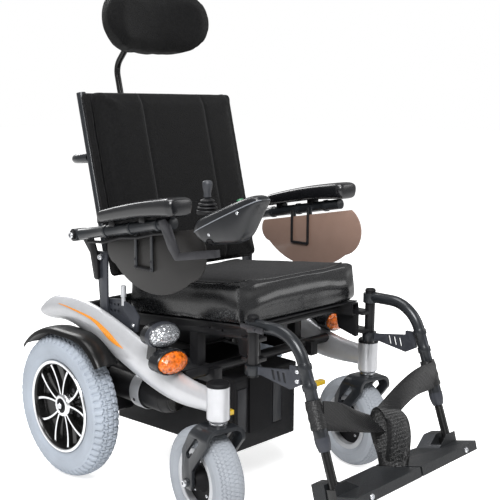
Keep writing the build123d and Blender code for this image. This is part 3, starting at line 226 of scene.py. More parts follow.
LOOK = {
    "armrest_brackets": "black_paint", "armrest_tube": "gunmetal", "back_canes": "gunmetal",
    "back_hinge_plates": "slate", "back_panel": "matt_black", "batteries": "panel_grey",
    "battery_box": "box_black", "battery_box_lid": "matt_black", "caster_bearings": "steel",
    "caster_fork": "gunmetal", "chassis_frame": "black_paint", "controller_bracket": "black_paint",
    "controller_cable": "rubber", "footrest_tube": "gloss_black", "freewheel_lever": "yellow",
    "gear_motors": "black_paint", "hanger": "gunmetal", "head_tube_caps": "matt_black",
    "headrest_bracket": "black_paint", "headrest_stem": "gloss_black", "joystick": "knob",
    "lamp_housings": "lamp_rim", "legrest_latch": "zinc", "power_button": "green",
    "power_module": "panel_grey", "push_bar": "gunmetal", "seat_frame": "black_paint",
    "side_frames": "pearl", "side_guard": "smoke", "footplate": "foot",
}


# ---------------------------------------------------------------- mesh helpers


def base_name(node):
    """A node's name without its side."""
    return node.removesuffix("_left").removesuffix("_right")


def joint(name):
    """A joint's record."""
    return next(j for j in frame["joints"] if j["name"] == name)


def joint_place(name):
    """A joint's position."""
    return Vector(joint(name)["pos_m"])


def joint_axis(name):
    """A joint's axis."""
    return Vector(joint(name)["axis"])


def body_of(node):
    """The CAD body that a node belongs to."""
    return frame["nodes"][node]["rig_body"]


def shade(obj, angle=35.0):
    """Smooth shading that keeps edges sharper than the angle."""
    for polygon in obj.data.polygons:
        polygon.use_smooth = True
    build = bmesh.new()
    build.from_mesh(obj.data)
    limit = radians(angle)
    for edge in build.edges:
        edge.smooth = len(edge.link_faces) != 2 or edge.calc_face_angle(0) < limit
    build.to_mesh(obj.data)
    build.free()


def make(name, verts, faces, look, body, replaced=(), angle=35.0, slot=None):
    """A shown piece from vertices and faces, riding a body if one is named."""
    data = bpy.data.meshes.new(name)
    data.from_pydata([tuple(v) for v in verts], [], faces)
    data.update()
    obj = bpy.data.objects.new(name, data)
    bpy.context.scene.collection.objects.link(obj)
    obj.data.materials.append(M[look])
    outward(obj)
    shade(obj, angle)
    if body:
        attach(obj, body)
    if replaced:
        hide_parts(*replaced)
    return obj


def outward(obj):
    """Turns all faces outward."""
    build = bmesh.new()
    build.from_mesh(obj.data)
    bmesh.ops.recalc_face_normals(build, faces=build.faces)
    build.to_mesh(obj.data)
    build.free()


def bevel(obj, width, segments=2, angle=32.0):
    """Rounds the edges sharper than the angle."""
    modifier = obj.modifiers.new("bevel", "BEVEL")
    modifier.width = width
    modifier.segments = segments
    modifier.limit_method = "ANGLE"
    modifier.angle_limit = radians(angle)
    apply_all(obj)
    shade(obj)


def subdivided(obj, angle=SOFT_ANGLE):
    """Applies an object's modifiers and one subdivision."""
    fine = obj.modifiers.new("fine", "SUBSURF")
    fine.levels = fine.render_levels = 1
    apply_all(obj)
    shade(obj, angle)
    return obj


def apply_all(obj):
    """Replaces an object's mesh by what its modifiers make of it."""
    graph = bpy.context.evaluated_depsgraph_get()
    graph.update()
    made = bpy.data.meshes.new_from_object(obj.evaluated_get(graph))
    obj.modifiers.clear()
    obj.data = made


def dressed(node, look, width=0.0, segments=2):
    """A copy of a CAD node with rounded edges that stands for it."""
    source = frame["nodes"][node]
    data = source.data.copy()
    obj = bpy.data.objects.new(f"{node}_finished", data)
    bpy.context.scene.collection.objects.link(obj)
    data.materials.clear()
    data.materials.append(M[look])
    for polygon in data.polygons:
        polygon.material_index = 0
    build = bmesh.new()
    build.from_mesh(data)
    bmesh.ops.remove_doubles(build, verts=build.verts, dist=0.00002)
    bmesh.ops.dissolve_limit(build, angle_limit=radians(1.0), verts=build.verts, edges=build.edges)
    build.to_mesh(data)
    build.free()
    if data.has_custom_normals:
        bpy.context.view_layer.objects.active = obj
        bpy.ops.mesh.customdata_custom_splitnormals_clear()
    if width:
        bevel(obj, width, segments)
    shade(obj)
    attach(obj, body_of(node))
    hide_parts(node)
    return obj


def loft_faces(rows, columns, wrap=True, ringed=False):
    """Quads between rings of points. A wrapped skin has flat ends unless its last ring joins the first."""
    faces = []
    for row in range(rows if ringed else rows - 1):
        here, following = row * columns, (row + 1) % rows * columns
        for column in range(columns if wrap else columns - 1):
            after = (column + 1) % columns
            faces.append((here + column, here + after, following + after, following + column))
    if wrap and not ringed:
        faces.append(tuple(range(columns)))
        faces.append(tuple(reversed(range((rows - 1) * columns, rows * columns))))
    return faces


def loft(name, rings, look, body, **options):
    """A closed skin through rings with equal numbers of points."""
    verts = [point for ring in rings for point in ring]
    return make(name, verts, loft_faces(len(rings), len(rings[0])), look, body, **options)


def circle(centre, first, second, count):
    """Points round a centre, from two half axes."""
    turns = [2 * pi * step / count for step in range(count)]
    return [centre + first * cos(turn) + second * sin(turn) for turn in turns]


def revolved(name, profile, centre, axis, look, body, segments=96, **options):
    """A skin turned about an axis through centre.

    The profile's points are (along the axis, radius). It closes on itself unless it ends on the axis.
    """
    axis = Vector(axis).normalized()
    first = axis.orthogonal().normalized()
    second = axis.cross(first)
    verts = []
    for along, radius in profile:
        verts += circle(Vector(centre) + axis * along, first * radius, second * radius, segments)
    faces = loft_faces(len(profile), segments, ringed=profile[-1][1] > 0.001)
    return make(name, verts, faces, look, body, **options)


def smooth_path(points, steps=10):
    """A Catmull-Rom curve through points."""
    ends = [2 * Vector(points[0]) - Vector(points[1]), *map(Vector, points),
            2 * Vector(points[-1]) - Vector(points[-2])]
    path = []
    for a, b, c, d in zip(ends, ends[1:], ends[2:], ends[3:]):
        for step in range(steps):
            t = step / steps
            path.append(0.5 * (2 * b + (c - a) * t + (2 * a - 5 * b + 4 * c - d) * t * t
                               + (3 * b - a - 3 * c + d) * t ** 3))
    path.append(ends[-2])
    return path


def tube(name, path, radius, look, body, sides=14, **options):
    """A round rod along a path."""
    path = [Vector(p) for p in path]
    rings = []
    normal = (path[1] - path[0]).orthogonal().normalized()
    for index, point in enumerate(path):
        heading = (path[min(index + 1, len(path) - 1)] - path[max(index - 1, 0)]).normalized()
        normal = (normal - heading * normal.dot(heading)).normalized()
        side = heading.cross(normal)
        rings.append(circle(point, normal * radius, side * radius, sides))
    return loft(name, rings, look, body, **options)


def box(name, low, high, look, body, width=0.001, **options):
    """A block with rounded edges."""
    corners = [(low[1], low[2]), (high[1], low[2]), (high[1], high[2]), (low[1], high[2])]
    verts = [(x, y, z) for x in (low[0], high[0]) for y, z in corners]
    obj = make(name, verts, loft_faces(2, len(corners)), look, body, **options)
    bevel(obj, width)
    return obj


def bolt(name, centre, axis, radius, look, body, height=0.4):
    """A round-headed socket screw."""
    rise = radius * height
    profile = [(-radius * 0.2, radius), (rise * 0.5, radius), (rise, radius * 0.75), (rise, radius * 0.42),
               (rise * 0.3, radius * 0.38), (rise * 0.3, 0.0001)]
    return revolved(name, profile, centre, axis, look, body, 24)


def reading(table, place, column=1):
    """A column's value at a place in a table of stations in rising order."""
    return float(np.interp(place, [row[0] for row in table], [row[column] for row in table]))


def surface_of(obj):
    """A tree to cast rays at an object's mesh."""
    return BVHTree.FromPolygons([v.co.copy() for v in obj.data.vertices],
                                [tuple(p.vertices) for p in obj.data.polygons])


def middle(node):
    """The centre of a CAD node's box and its half sizes."""
    low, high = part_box(node)
    return (low + high) / 2, (high - low) / 2


# ---------------------------------------------------------------- wheels


TYRE_SQUARENESS = 0.86
DRIVE_TREAD_DEPTH = 0.0040
CASTER_TREAD_DEPTH = 0.0018


def zigzag(turn, count, phase=0.0):
    """A triangle wave from -1 to 1, count times a turn."""
    t = (turn * count / (2 * pi) + phase) % 1.0
    return 4 * np.abs(t - 0.5) - 1


def groove(distance, half_width):
    """1 in a groove, 0 outside it, with sloped walls."""
    return np.clip((half_width - np.abs(distance)) / (0.45 * half_width), 0, 1)


def slits(turn, pitch, phase):
    """Distance from the nearest crosswise slit, in shares of their spacing."""
    return ((turn * pitch / (2 * pi) + phase) % 1.0) - 0.5


def drive_tread(angle, turn, pitch):
    """Depth of the tread at a section angle in degrees and a turn in radians."""
    depth = np.zeros_like(angle)
    for line, phase in ((-30, 0.0), (-10, 0.5), (10, 0.0), (30, 0.5)):
        depth = np.maximum(depth, groove(angle - line - 4.5 * zigzag(turn, pitch, phase), 2.6))
    for low, high, phase in ((-30, -10, 0.0), (-10, 10, 0.5), (10, 30, 0.0)):
        inside = (angle > low - 3) & (angle < high + 3)
        depth = np.maximum(depth, inside * groove(slits(turn, pitch, phase), 0.13))
    shoulder = (np.abs(angle) > 33) & (np.abs(angle) < 66)
    depth = np.maximum(depth, shoulder * groove(slits(turn, pitch, 0.25), 0.26))
    return depth * DRIVE_TREAD_DEPTH


def caster_tread(angle, turn, pitch):
    """Fine zigzag grooves round the crown."""
    depth = np.zeros_like(angle)
    for line in (-48, -32, -16, 0, 16, 32, 48):
        depth = np.maximum(depth, groove(angle - line - 5.0 * zigzag(turn, pitch, line / 32.0), 2.1))
    return depth * CASTER_TREAD_DEPTH


def tyre(node, axis, bead, bead_radius, half_width, outer, tread, pitch, detail, look="tyre"):
    """A solid-filled tyre with a moulded tread."""
    centre, _ = middle(node)
    axis = Vector(axis).normalized()
    down = UP.cross(axis).normalized()
    up = axis.cross(down)
    core = (bead_radius + outer) / 2 - 0.002
    rise = outer - core
    around = pitch * detail
    angles = np.linspace(-122, 122, 96)
    turn, angle = np.meshgrid(np.arange(around) * 2 * pi / around, angles, indexing="ij")
    bend = np.radians(angle)
    across = half_width * np.sign(np.sin(bend)) * np.abs(np.sin(bend)) ** TYRE_SQUARENESS
    radius = core + rise * np.sign(np.cos(bend)) * np.abs(np.cos(bend)) ** TYRE_SQUARENESS
    ribs = 0.0007 * (groove(np.abs(angle) - 78, 2.5) + groove(np.abs(angle) - 104, 2.0))
    shift = ribs - tread(angle, turn, pitch)
    across = across + shift * np.sin(bend)
    radius = radius + shift * np.cos(bend)
    verts = []
    for step in range(around):
        out = up * cos(turn[step, 0]) + down * sin(turn[step, 0])
        section = [centre + axis * a + out * r for a, r in zip(across[step], radius[step])]
        section.append(centre + axis * bead + out * bead_radius)
        section.append(centre - axis * bead + out * bead_radius)
        verts += section
    faces = loft_faces(around, len(angles) + 2, ringed=True)
    return make(f"{node}_treaded", verts, faces, look, body_of(node), [node], angle=50.0)


def spoke(centre, out_axis, start_turn, end_turn, radii, half_width, depth, face):
    """Points of one curved spoke in the wheel's plane, as boxes between stations."""
    rings = []
    ahead = Vector((0, 1, 0))
    for step in range(13):
        t = step / 12
        radius = radii[0] + (radii[1] - radii[0]) * t
        turn = start_turn + (end_turn - start_turn) * t ** 1.4
        out = ahead * cos(turn) + UP * sin(turn)
        side = -ahead * sin(turn) + UP * cos(turn)
        point = centre + out * radius
        wide = half_width * (1.0 + 0.5 * t ** 3)
        front = face - 0.004 * (1 - t)
        edge, back = front - 0.002, front - depth
        section = [(0.75, front), (1, edge), (1, back), (-1, back), (-1, edge), (-0.75, front)]
        rings.append([point + side * wide * share + out_axis * height for share, height in section])
    return rings


def drive_rim(hand, side):
    """Black rim with a machined lip and five pairs of curved spokes with machined faces."""
    node = f"drive_rim_{hand}"
    body = body_of(node)
    centre, _ = middle(f"drive_tyre_{hand}")
    out_axis = Vector((side, 0, 0))
    barrel = [(-0.030, 0.103), (-0.030, 0.1155), (0.0295, 0.1155), (0.0305, 0.113), (0.0305, 0.106),
              (0.027, 0.1035), (0.022, 0.103), (0.006, 0.1005), (0.004, 0.097), (0.004, 0.012),
              (-0.006, 0.012), (-0.006, 0.1005), (-0.030, 0.1005)]
    revolved(f"{node}_barrel", barrel, centre, out_axis, "gloss_black", body, 128, replaced=[node],
             slot="rim_black")
    lip = [(0.0296, 0.1152), (0.0318, 0.1138), (0.0322, 0.1110), (0.0312, 0.1078), (0.0296, 0.1060)]
    revolved(f"{node}_lip", lip, centre, out_axis, "machined", body, 128, slot="rim_silver")
    verts, faces, bright = [], [], []
    for pair in range(5):
        base = radians(72 * pair + 18)
        for sign in (-1, 1):
            start = base + sign * radians(9)
            end = base + sign * radians(21)
            rings = spoke(centre, out_axis, start, end, (0.024, 0.1035), 0.0030, 0.012, 0.0235)
            offset, columns = len(verts), 6
            verts += [p for ring in rings for p in ring]
            for face in loft_faces(len(rings), columns):
                bright.append(len(face) == 4 and {i % columns for i in face} == {0, 5})
                faces.append(tuple(offset + i for i in face))
    spokes = make(f"{node}_spokes", verts, faces, "gloss_black", body, angle=30.0, slot="rim_black")
    spokes.data.materials.append(M["machined"])
    for polygon, is_bright in zip(spokes.data.polygons, bright):
        polygon.material_index = int(is_bright)
    hub = [(0.006, 0.031), (0.017, 0.030), (0.021, 0.027), (0.0225, 0.024), (0.0225, 0.0185), (0.019, 0.017)]
    revolved(f"{node}_hub", hub, centre, out_axis, "machined", body, 64, slot="rim_silver")
    cap = [(0.010, 0.0175), (0.0205, 0.0172), (0.0225, 0.0150), (0.0232, 0.0110), (0.0200, 0.0100),
           (0.0200, 0.0002)]
    revolved(f"{node}_cap", cap, centre, out_axis, "matt_black", body, 48, slot="rim_black")
    nut = [(0.018, 0.0088), (0.0268, 0.0088), (0.0290, 0.0070), (0.0290, 0.0002)]
    revolved(f"{node}_nut", nut, centre, out_axis, "steel", body, 6, slot="rim_silver", angle=20.0)
    for index in range(5):
        turn = radians(72 * index + 54)
        place = centre + Vector((side * 0.0045, 0.052 * cos(turn), 0.052 * sin(turn)))
        bolt(f"{node}_bolt_{index}", place, out_axis, 0.0055, "zinc", body)


def caster(hand):
    """Caster wheel: zigzag tyre, pale rim rings with dark dishes, and axle bolts on the fork."""
    tyre_node, rim_node, fork_node = f"caster_tyre_{hand}", f"caster_rim_{hand}", f"caster_fork_{hand}"
    axis = joint_axis(f"caster_roll_{hand}")
    centre, _ = middle(tyre_node)
    tyre(tyre_node, axis, 0.0245, 0.0655, 0.0352, 0.1145, caster_tread, 78, 10, "caster_tyre")
    body = body_of(rim_node)
    for name, way in (("inner", -1), ("outer", 1)):
        out = axis * way
        ring = [(0.010, 0.0565), (0.0272, 0.0565), (0.0285, 0.0580), (0.0290, 0.0640), (0.0282, 0.0690),
                (0.0262, 0.0705), (0.0240, 0.0700), (0.010, 0.0650)]
        face = revolved(f"{rim_node}_{name}_ring", ring, centre, out, "white_alloy", body, 96,
                        slot="rim_silver")
        dish = [(0.002, 0.0575), (0.0130, 0.0572), (0.0125, 0.0300), (0.0180, 0.0240), (0.0300, 0.0190),
                (0.0345, 0.0165), (0.0345, 0.0070), (0.002, 0.0070)]
        revolved(f"{rim_node}_{name}_dish", dish, centre, out, "matt_black", body, 72, slot="rim_silver")
        for index in range(5):
            turn = 2 * pi * index / 5
            place = centre + out * 0.0128 + (UP * cos(turn) + UP.cross(axis) * sin(turn)) * 0.040
            bolt(f"{rim_node}_{name}_bolt_{index}", place, out, 0.0042, "steel", body)
    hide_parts(rim_node)
    dressed(fork_node, "gunmetal", 0.0014)
    fork_body = body_of(fork_node)
    for name, way in (("inner", -1), ("outer", 1)):
        out = axis * way
        bolt(f"{fork_node}_{name}_bolt", centre + out * 0.0545, out, 0.0085, "steel", fork_body, 0.6)
    swivel = joint_place(f"caster_swivel_{hand}")
    swivel.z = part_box("side_frames")[0].z - 0.0115
    seal = [(0.0, 0.0185), (0.004, 0.0200), (0.008, 0.0200), (0.0105, 0.0170)]
    revolved(f"{fork_node}_seal", seal, swivel, UP, "steel", fork_body, 48, slot="rim_silver")


# ---------------------------------------------------------------- padding


VOXEL = 0.006
PUFF_FRAMES = 20


def puffed(obj, pressure, cap, pins=None):
    """Blows a padded piece up by cloth simulation, then limits how far it moved."""
    modifier = obj.modifiers.new("remesh", "REMESH")
    modifier.mode = "VOXEL"
    modifier.voxel_size = VOXEL
    apply_all(obj)
    rest = np.array([v.co for v in obj.data.vertices], float)
    if pins is not None:
        group = obj.vertex_groups.new(name="pinned")
        for vertex in obj.data.vertices:
            weight = pins(vertex.co)
            if weight > 0:
                group.add([vertex.index], weight, "REPLACE")
    cloth = obj.modifiers.new("cloth", "CLOTH")
    cloth.settings.quality = 4
    cloth.settings.mass = 0.3
    cloth.settings.tension_stiffness = 20
    cloth.settings.compression_stiffness = 20
    cloth.settings.bending_stiffness = 4
    cloth.settings.use_pressure = True
    cloth.settings.uniform_pressure_force = pressure
    cloth.settings.effector_weights.gravity = 0
    if pins is not None:
        cloth.settings.vertex_group_mass = "pinned"
    scene = bpy.context.scene
    scene.frame_start, scene.frame_end = 1, PUFF_FRAMES
    for number in range(1, PUFF_FRAMES + 1):
        scene.frame_set(number)
    apply_all(obj)
    scene.frame_set(1)
    moved = np.array([v.co for v in obj.data.vertices], float) - rest
    length = np.linalg.norm(moved, axis=1, keepdims=True)
    moved *= np.minimum(1.0, cap / np.maximum(length, 1e-9))
    obj.data.vertices.foreach_set("co", (rest + moved).ravel())
    obj.data.update()
    return smoothed(obj)


def smoothed(obj, factor=0.5, repeat=6):
    """Evens the voxel steps out and subdivides once."""
    relax = obj.modifiers.new("relax", "SMOOTH")
    relax.factor = factor
    relax.iterations = repeat
    return subdivided(obj)


def pressed(obj, change):
    """Moves each vertex by a function of its place and normal."""
    normals = [v.normal.copy() for v in obj.data.vertices]
    for vertex, normal in zip(obj.data.vertices, normals):
        vertex.co = vertex.co + change(vertex.co, normal)
    obj.data.update()


def dip(distance, width):
    """A smooth groove's share at a distance from its line."""
    return exp(-(distance / width) ** 2)


def seat_cushion():
    """Box cushion: mesh cloth above, vinyl round the sides with soft folds, piping on the seam."""
    node = "seat_cushion"
    obj = dressed(node, "vinyl")
    low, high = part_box(node)
    puffed(obj, 4.0, 0.005, lambda co: 1.0 if co.z < low.z + 0.03 + (high.y - co.y) * 0.09 else 0.0)
    middle_y = (low.y + high.y) / 2
    corner_radius, top_steepness = 0.040, 0.6

    def shaped(co, normal):
        """Rounds the front corners, crowns the top and draws the sides in between the corners."""
        move = Vector((0, 0, 0))
        over = abs(co.x) - (high.x - corner_radius), low.y + corner_radius - co.y
        if min(over) > 0:
            share = max(over) / hypot(*over) - 1
            move += Vector((copysign(over[0] * share, co.x), -over[1] * share, 0))
        across = (co.x / high.x) ** 2
        along = ((co.y - middle_y) / (high.y - middle_y)) ** 2
        if normal.z > top_steepness:
            move.z += 0.004 * (1 - min(1, across)) * (1 - min(1, along))
            move.z += 0.0012 * noise.noise(Vector((co.x * 14, co.y * 14, 3.1)))
            move.z -= 0.0035 * dip(abs(co.x) - (high.x - 0.024), 0.005)
        elif abs(normal.z) < top_steepness:
            corner = dip(abs(co.x) - high.x, 0.05) * dip(co.y - low.y, 0.13)
            fold = noise.noise(Vector((co.x * 32 + co.y * 32, 7.7, co.z * 14)))
            wave = noise.noise(Vector((co.x * 20 + co.y * 20, 1.3, co.z * 12)))
            hollow = 1 - min(1, along if abs(normal.x) > top_steepness else across)
            move += normal * (0.0022 * fold * corner + 0.0010 * wave - 0.0030 * hollow)
        return move

    pressed(obj, shaped)
    smoothed(obj, 0.5, 8)
    obj.data.materials.append(M["seat_mesh"])
    for polygon in obj.data.polygons:
        polygon.material_index = int(polygon.normal.z > top_steepness)
    shade(obj, SOFT_ANGLE)
    seam = []
    tree = surface_of(obj)
    reach_x, reach_y = (high.x - 0.006) * 0.968, ((high.y - low.y) / 2 - 0.014) * 0.968
    for step in range(200):
        turn = 2 * pi * step / 200
        x = copysign(abs(cos(turn)) ** 0.22, cos(turn)) * reach_x
        y = copysign(abs(sin(turn)) ** 0.22, sin(turn)) * reach_y + middle_y
        hit = tree.ray_cast(Vector((x, y, high.z + RAY_START)), -UP)[0]
        if hit:
            seam.append(hit + UP * SURFACE_LIFT)
    seam.append(seam[0])
    tube("seat_piping", seam, 0.0019, "vinyl", "chassis", 8, slot="seat_fabric")


def back_frame_point(up, forward, x=0.0):
    """A point measured up the back and forward from the recline hinge."""
    pivot = joint_place("backrest_recline")
    rise = joint_axis("headrest_height")
    ahead = rise.cross(ACROSS)
    ahead *= -copysign(1, ahead.y)
    return Vector((x, pivot.y, pivot.z)) + rise * up + ahead * forward


def back_cushion():
    """Padded back: cloth front with two upright seams, a bolstered edge and side strips."""
    node = "back_cushion"
    obj = dressed(node, "back_cloth")
    ahead = (back_frame_point(0, 1) - back_frame_point(0, 0)).normalized()
    rise = (back_frame_point(1, 0) - back_frame_point(0, 0)).normalized()
    foot = back_frame_point(0, 0)
    seam_x, low_end, high_end = 0.101, -0.045, 0.385
    puffed(obj, 4.0, 0.006, lambda co: 1.0 if (co - foot).dot(ahead) < 0.03 else 0.0)

    def shaped(co, normal):
        """Sews two seams and an inset edge into the front."""
        facing = max(0.0, normal.dot(ahead))
        up = (co - foot).dot(rise)
        depth = 0.0032 * dip(abs(co.x) - seam_x, 0.0050)
        depth += 0.0020 * dip(abs(co.x) - 0.196, 0.0060)
        swell = 0.0035 * (1 - min(1, (co.x / 0.2) ** 2))
        ripple = 0.0009 * noise.noise(Vector((co.x * 12, up * 9, 2.2)))
        return ahead * facing * (swell + ripple - depth)

    pressed(obj, shaped)
    shade(obj, SOFT_ANGLE)
    tree = surface_of(obj)
    dressed("back_panel", "matt_black", 0.0015)
    for name, side in SIDES.items():
        starts = [back_frame_point(up, 0.2, side * seam_x) for up in np.linspace(low_end, high_end, 61)]
        hits = [tree.ray_cast(start, -ahead)[0] for start in starts]
        path = [hit - ahead * SURFACE_LIFT for hit in hits if hit]
        tube(f"back_seam_{name}", path, 0.0011, "thread", "backrest", 6, slot="back_fabric")
        strip = [back_frame_point(up, 0.0205 + 0.0012 * sin(up * 60), side * 0.2305)
                 for up in np.linspace(low_end, high_end, 40)]
        tube(f"back_side_roll_{name}", strip, 0.0085, "back_cloth", "backrest", 12, slot="back_fabric")


def headrest():
    """Curved pad of cloth that thins towards its rim, with its bracket and pivot bolts."""
    node = "headrest_pad"
    obj = dressed(node, "back_cloth")
    puffed(obj, 5.0, 0.010)
    smoothed(obj, 0.7, 14)
    centre, half = middle(node)
    back_r, front_r, curve_y, front_y, reach = 0.340, 0.286, 0.022, 0.262, 0.165

    def shaped(co, normal):
        """Rounds the pad's outline, thins it towards its rim and fills its middle out."""
        across = (co.x - centre.x) / half.x
        up = (co.z - centre.z) / half.z
        away = min(abs(co.x - centre.x), reach)
        back = curve_y + sqrt(back_r ** 2 - away ** 2)
        front = max(front_y, curve_y + sqrt(front_r ** 2 - away ** 2))
        core = (back + front) / 2
        thin = sqrt(max(0.2, 1 - 0.55 * across ** 4)) * sqrt(max(0.2, 1 - 0.45 * up ** 4))
        place = Vector((centre.x - 0.004 + (co.x - centre.x) * 0.93 * sqrt(max(0.3, 1 - 0.42 * up ** 2)),
                        core + (co.y - core) * thin,
                        centre.z + (co.z - centre.z) * sqrt(max(0.3, 1 - 0.34 * across ** 2))))
        rim = min(1.0, max(abs(across), abs(up)))
        return place - co + normal * 0.009 * (1 - rim ** 2)

    pressed(obj, shaped)
    shade(obj, SOFT_ANGLE)
    dressed("headrest_bracket", "black_paint", 0.0012)
    for name, side in SIDES.items():
        place = joint_place("headrest_tilt") + ACROSS * side * 0.0162
        bolt(f"headrest_pivot_{name}", place, (side, 0, 0), 0.007, "steel", "headrest", 0.6)


# ---------------------------------------------------------------- armrests and controller


def armrest_line(hand):
    """The armrest tube's pivot and its forward and upward directions."""
    pivot = joint_place(f"armrest_flip_{hand}")
    slide = joint_axis("controller_slide")
    up = slide.cross(ACROSS)
    return pivot, slide, up * copysign(1, up.z)


def rounding(share):
    """A quarter round that rises from 0 to 1 with its share."""
    return sqrt(1 - (1 - min(1.0, max(0.0, share))) ** 2)


def armrest_pad(hand):
    """Moulded pad that thickens into a squarish nose, with a parting line below its top."""
    node = f"armrest_pad_{hand}"
    low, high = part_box(node)
    centre_x = (low.x + high.x) / 2
    wide = (high.x - low.x) / 2
    source = surface_of(frame["nodes"][node])
    rings = []
    count = 44
    stations = list(low.y + (high.y - low.y) * (0.5 - 0.5 * np.cos(np.linspace(0.06, pi - 0.05, 56))))
    starts = [Vector((centre_x, max(y, low.y + 0.022), 0)) for y in stations]
    tops, bottoms = ([source.ray_cast(start + UP * height, way)[0].z for start in starts]
                     for height, way in ((high.z + RAY_START, -UP), (low.z - RAY_START, UP)))
    soft = np.convolve(np.pad(bottoms, 3, mode="edge"), np.array([1, 2, 3, 4, 3, 2, 1]) / 16, mode="valid")
    for y, top, bottom in reversed(list(zip(stations, tops, soft))):
        nose = rounding((y - low.y) / 0.016)
        heel = rounding((high.y - y) / 0.012)
        breadth = wide * (0.72 + 0.28 * nose) * (0.84 + 0.16 * heel)
        mid, half = (top + bottom) / 2, max(0.002, (top - bottom) / 2) * (0.70 + 0.30 * nose)
        ring = []
        for step in range(count):
            turn = 2 * pi * step / count
            c, s = cos(turn), sin(turn)
            x = breadth * copysign(abs(c) ** 0.5, c)
            z = half * copysign(abs(s) ** (0.62 if s > 0 else 0.45), s)
            pinch = 1 - 0.05 * dip(z / half + 0.25, 0.16) * (1 if abs(c) > 0.5 else 0)
            narrow = 1 - 0.16 * max(0.0, -z / half - 0.1)
            ring.append(Vector((centre_x + x * pinch * narrow, y, mid + z)))
        rings.append(ring)
    obj = loft(f"{node}_moulded", rings, "pad", f"armrest_{hand}", replaced=[node], angle=60.0)


def armrest(hand, side):
    """Armrest tube with its collars, pivot bolt and clips, and the smoked guard with its rods and screws."""
    body = f"armrest_{hand}"
    dressed(f"armrest_tube_{hand}", "gunmetal", 0.0008)
    armrest_pad(hand)
    # The near guard takes the painted-shade copy of the smoked plastic; the far guard keeps the plain smoked
    # plastic.
    dressed(f"side_guard_{hand}", "smoke_painted_shade" if hand == "right" else "smoke", 0.0010)
    pivot, ahead, up = armrest_line(hand)
    out = Vector((side, 0, 0))
    bolt(f"armrest_pivot_bolt_{hand}", pivot + out * 0.0198, out, 0.0080, "steel", "chassis", 0.6)
    low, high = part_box(f"side_guard_{hand}")
    outer, inner = (high.x, low.x) if side > 0 else (low.x, high.x)
    rod_ys = [(pivot + ahead * forward).y for forward in (0.206, 0.262)]
    for index, y in enumerate(rod_ys):
        for height in (553, 570):
            place = (outer + side * 0.0085, y, height / 1000)
            bolt(f"guard_screw_{hand}_{index}_{height}", place, out, 0.0032, "zinc", body)
    bar = [(outer + side * 0.0043, y, 0.551) for y in rod_ys]
    tube(f"guard_bar_{hand}", bar, 0.0036, "black_paint", body, 12, slot="dark_steel")
    x = inner - side * 0.0034
    clip = [(x, rod_ys[0], 0.640), (x, rod_ys[0], 0.556), (x, rod_ys[1], 0.556), (x, rod_ys[1], 0.650)]
    for index, (start, end) in enumerate(zip(clip, clip[1:])):
        tube(f"guard_clip_{hand}_{index}", [start, end], 0.0033, "black_paint", body, 12, slot="dark_steel")
    for index, forward in enumerate((0.150, 0.260)):
        place = pivot + ahead * forward + up * 0.0125
        low, high = place - Vector((0.012, 0.010, 0.004)), place + Vector((0.012, 0.010, 0.008))
        box(f"pad_saddle_{hand}_{index}", low, high, "black_paint", body, slot="dark_steel")


def pod_section(middle_point, half_width, lower, upper, normal, count=40):
    """One closed section of the controller, across its seam line."""
    ring = []
    for step in range(count):
        turn = 2 * pi * step / count
        c, s = cos(turn), sin(turn)
        height = (upper if s > 0 else lower) * copysign(abs(s) ** 0.72, s)
        ring.append(middle_point + normal * height + ACROSS * half_width * copysign(abs(c) ** 0.62, c))
    return ring


def controller():
    """Controller with two shells, a seam between them, boot, knob, button and screws."""
    button_axis = -joint_axis("power_button_press")
    line = ACROSS.cross(button_axis)
    line *= -copysign(1, line.y)
    low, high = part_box("controller_base")
    start = Vector(((low.x + high.x) / 2, -0.145, 0.656))
    profile = [(0.002, 0.022, 0.005, 0.007), (0.010, 0.027, 0.020, 0.016), (0.022, 0.030, 0.033, 0.0215),
               (0.040, 0.0315, 0.040, 0.023), (0.065, 0.032, 0.047, 0.022), (0.090, 0.032, 0.054, 0.0205),
               (0.110, 0.031, 0.056, 0.020), (0.128, 0.030, 0.049, 0.019), (0.148, 0.028, 0.034, 0.018),
               (0.166, 0.026, 0.020, 0.0165), (0.180, 0.023, 0.011, 0.014), (0.190, 0.018, 0.006, 0.0085),
               (0.1935, 0.009, 0.002, 0.003)]
    rings = []
    for first, last, count in ((0.002, 0.03, 10), (0.036, 0.16, 22), (0.164, 0.1935, 12)):
        for along in np.linspace(first, last, count):
            sizes = (reading(profile, along, column) for column in (1, 2, 3))
            rings.append(pod_section(start + line * along, *sizes, button_axis))
    obj = loft("controller_shells", rings, "pod", "controller",
               replaced=["controller_base", "controller_cover"], angle=60.0)
    subdivided(obj, 70.0)
    alongs = np.linspace(0.004, 0.192, 44)
    near, far = ([start + line * along + ACROSS * way * (reading(profile, along) + 0.0001)
                  for along in alongs] for way in (-1, 1))
    tube("controller_seam", near + far[::-1] + near[:1], 0.0011, "seam_grey", "controller", 8,
         slot="controller_grey")
    tree = surface_of(obj)
    for index, (along, drop) in enumerate(((0.050, 0.020), (0.140, 0.006))):
        origin = start + line * along - button_axis * drop - ACROSS * RAY_START
        hit, normal = tree.ray_cast(origin, ACROSS)[:2]
        if hit:
            bolt(f"controller_screw_{index}", hit, normal, 0.0034, "steel", "controller")
    hit, normal = tree.ray_cast(start + line * 0.040 - button_axis * 0.033 - ACROSS * RAY_START, ACROSS)[:2]
    if hit:
        ring = [(-0.001, 0.0085), (0.002, 0.0085), (0.0026, 0.0070), (0.0005, 0.0062), (0.0005, 0.0001)]
        revolved("controller_socket", ring, hit, normal, "matt_black", "controller", 32,
                 slot="controller_grey")
    dressed("power_button", "green", 0.0006)
    joystick()


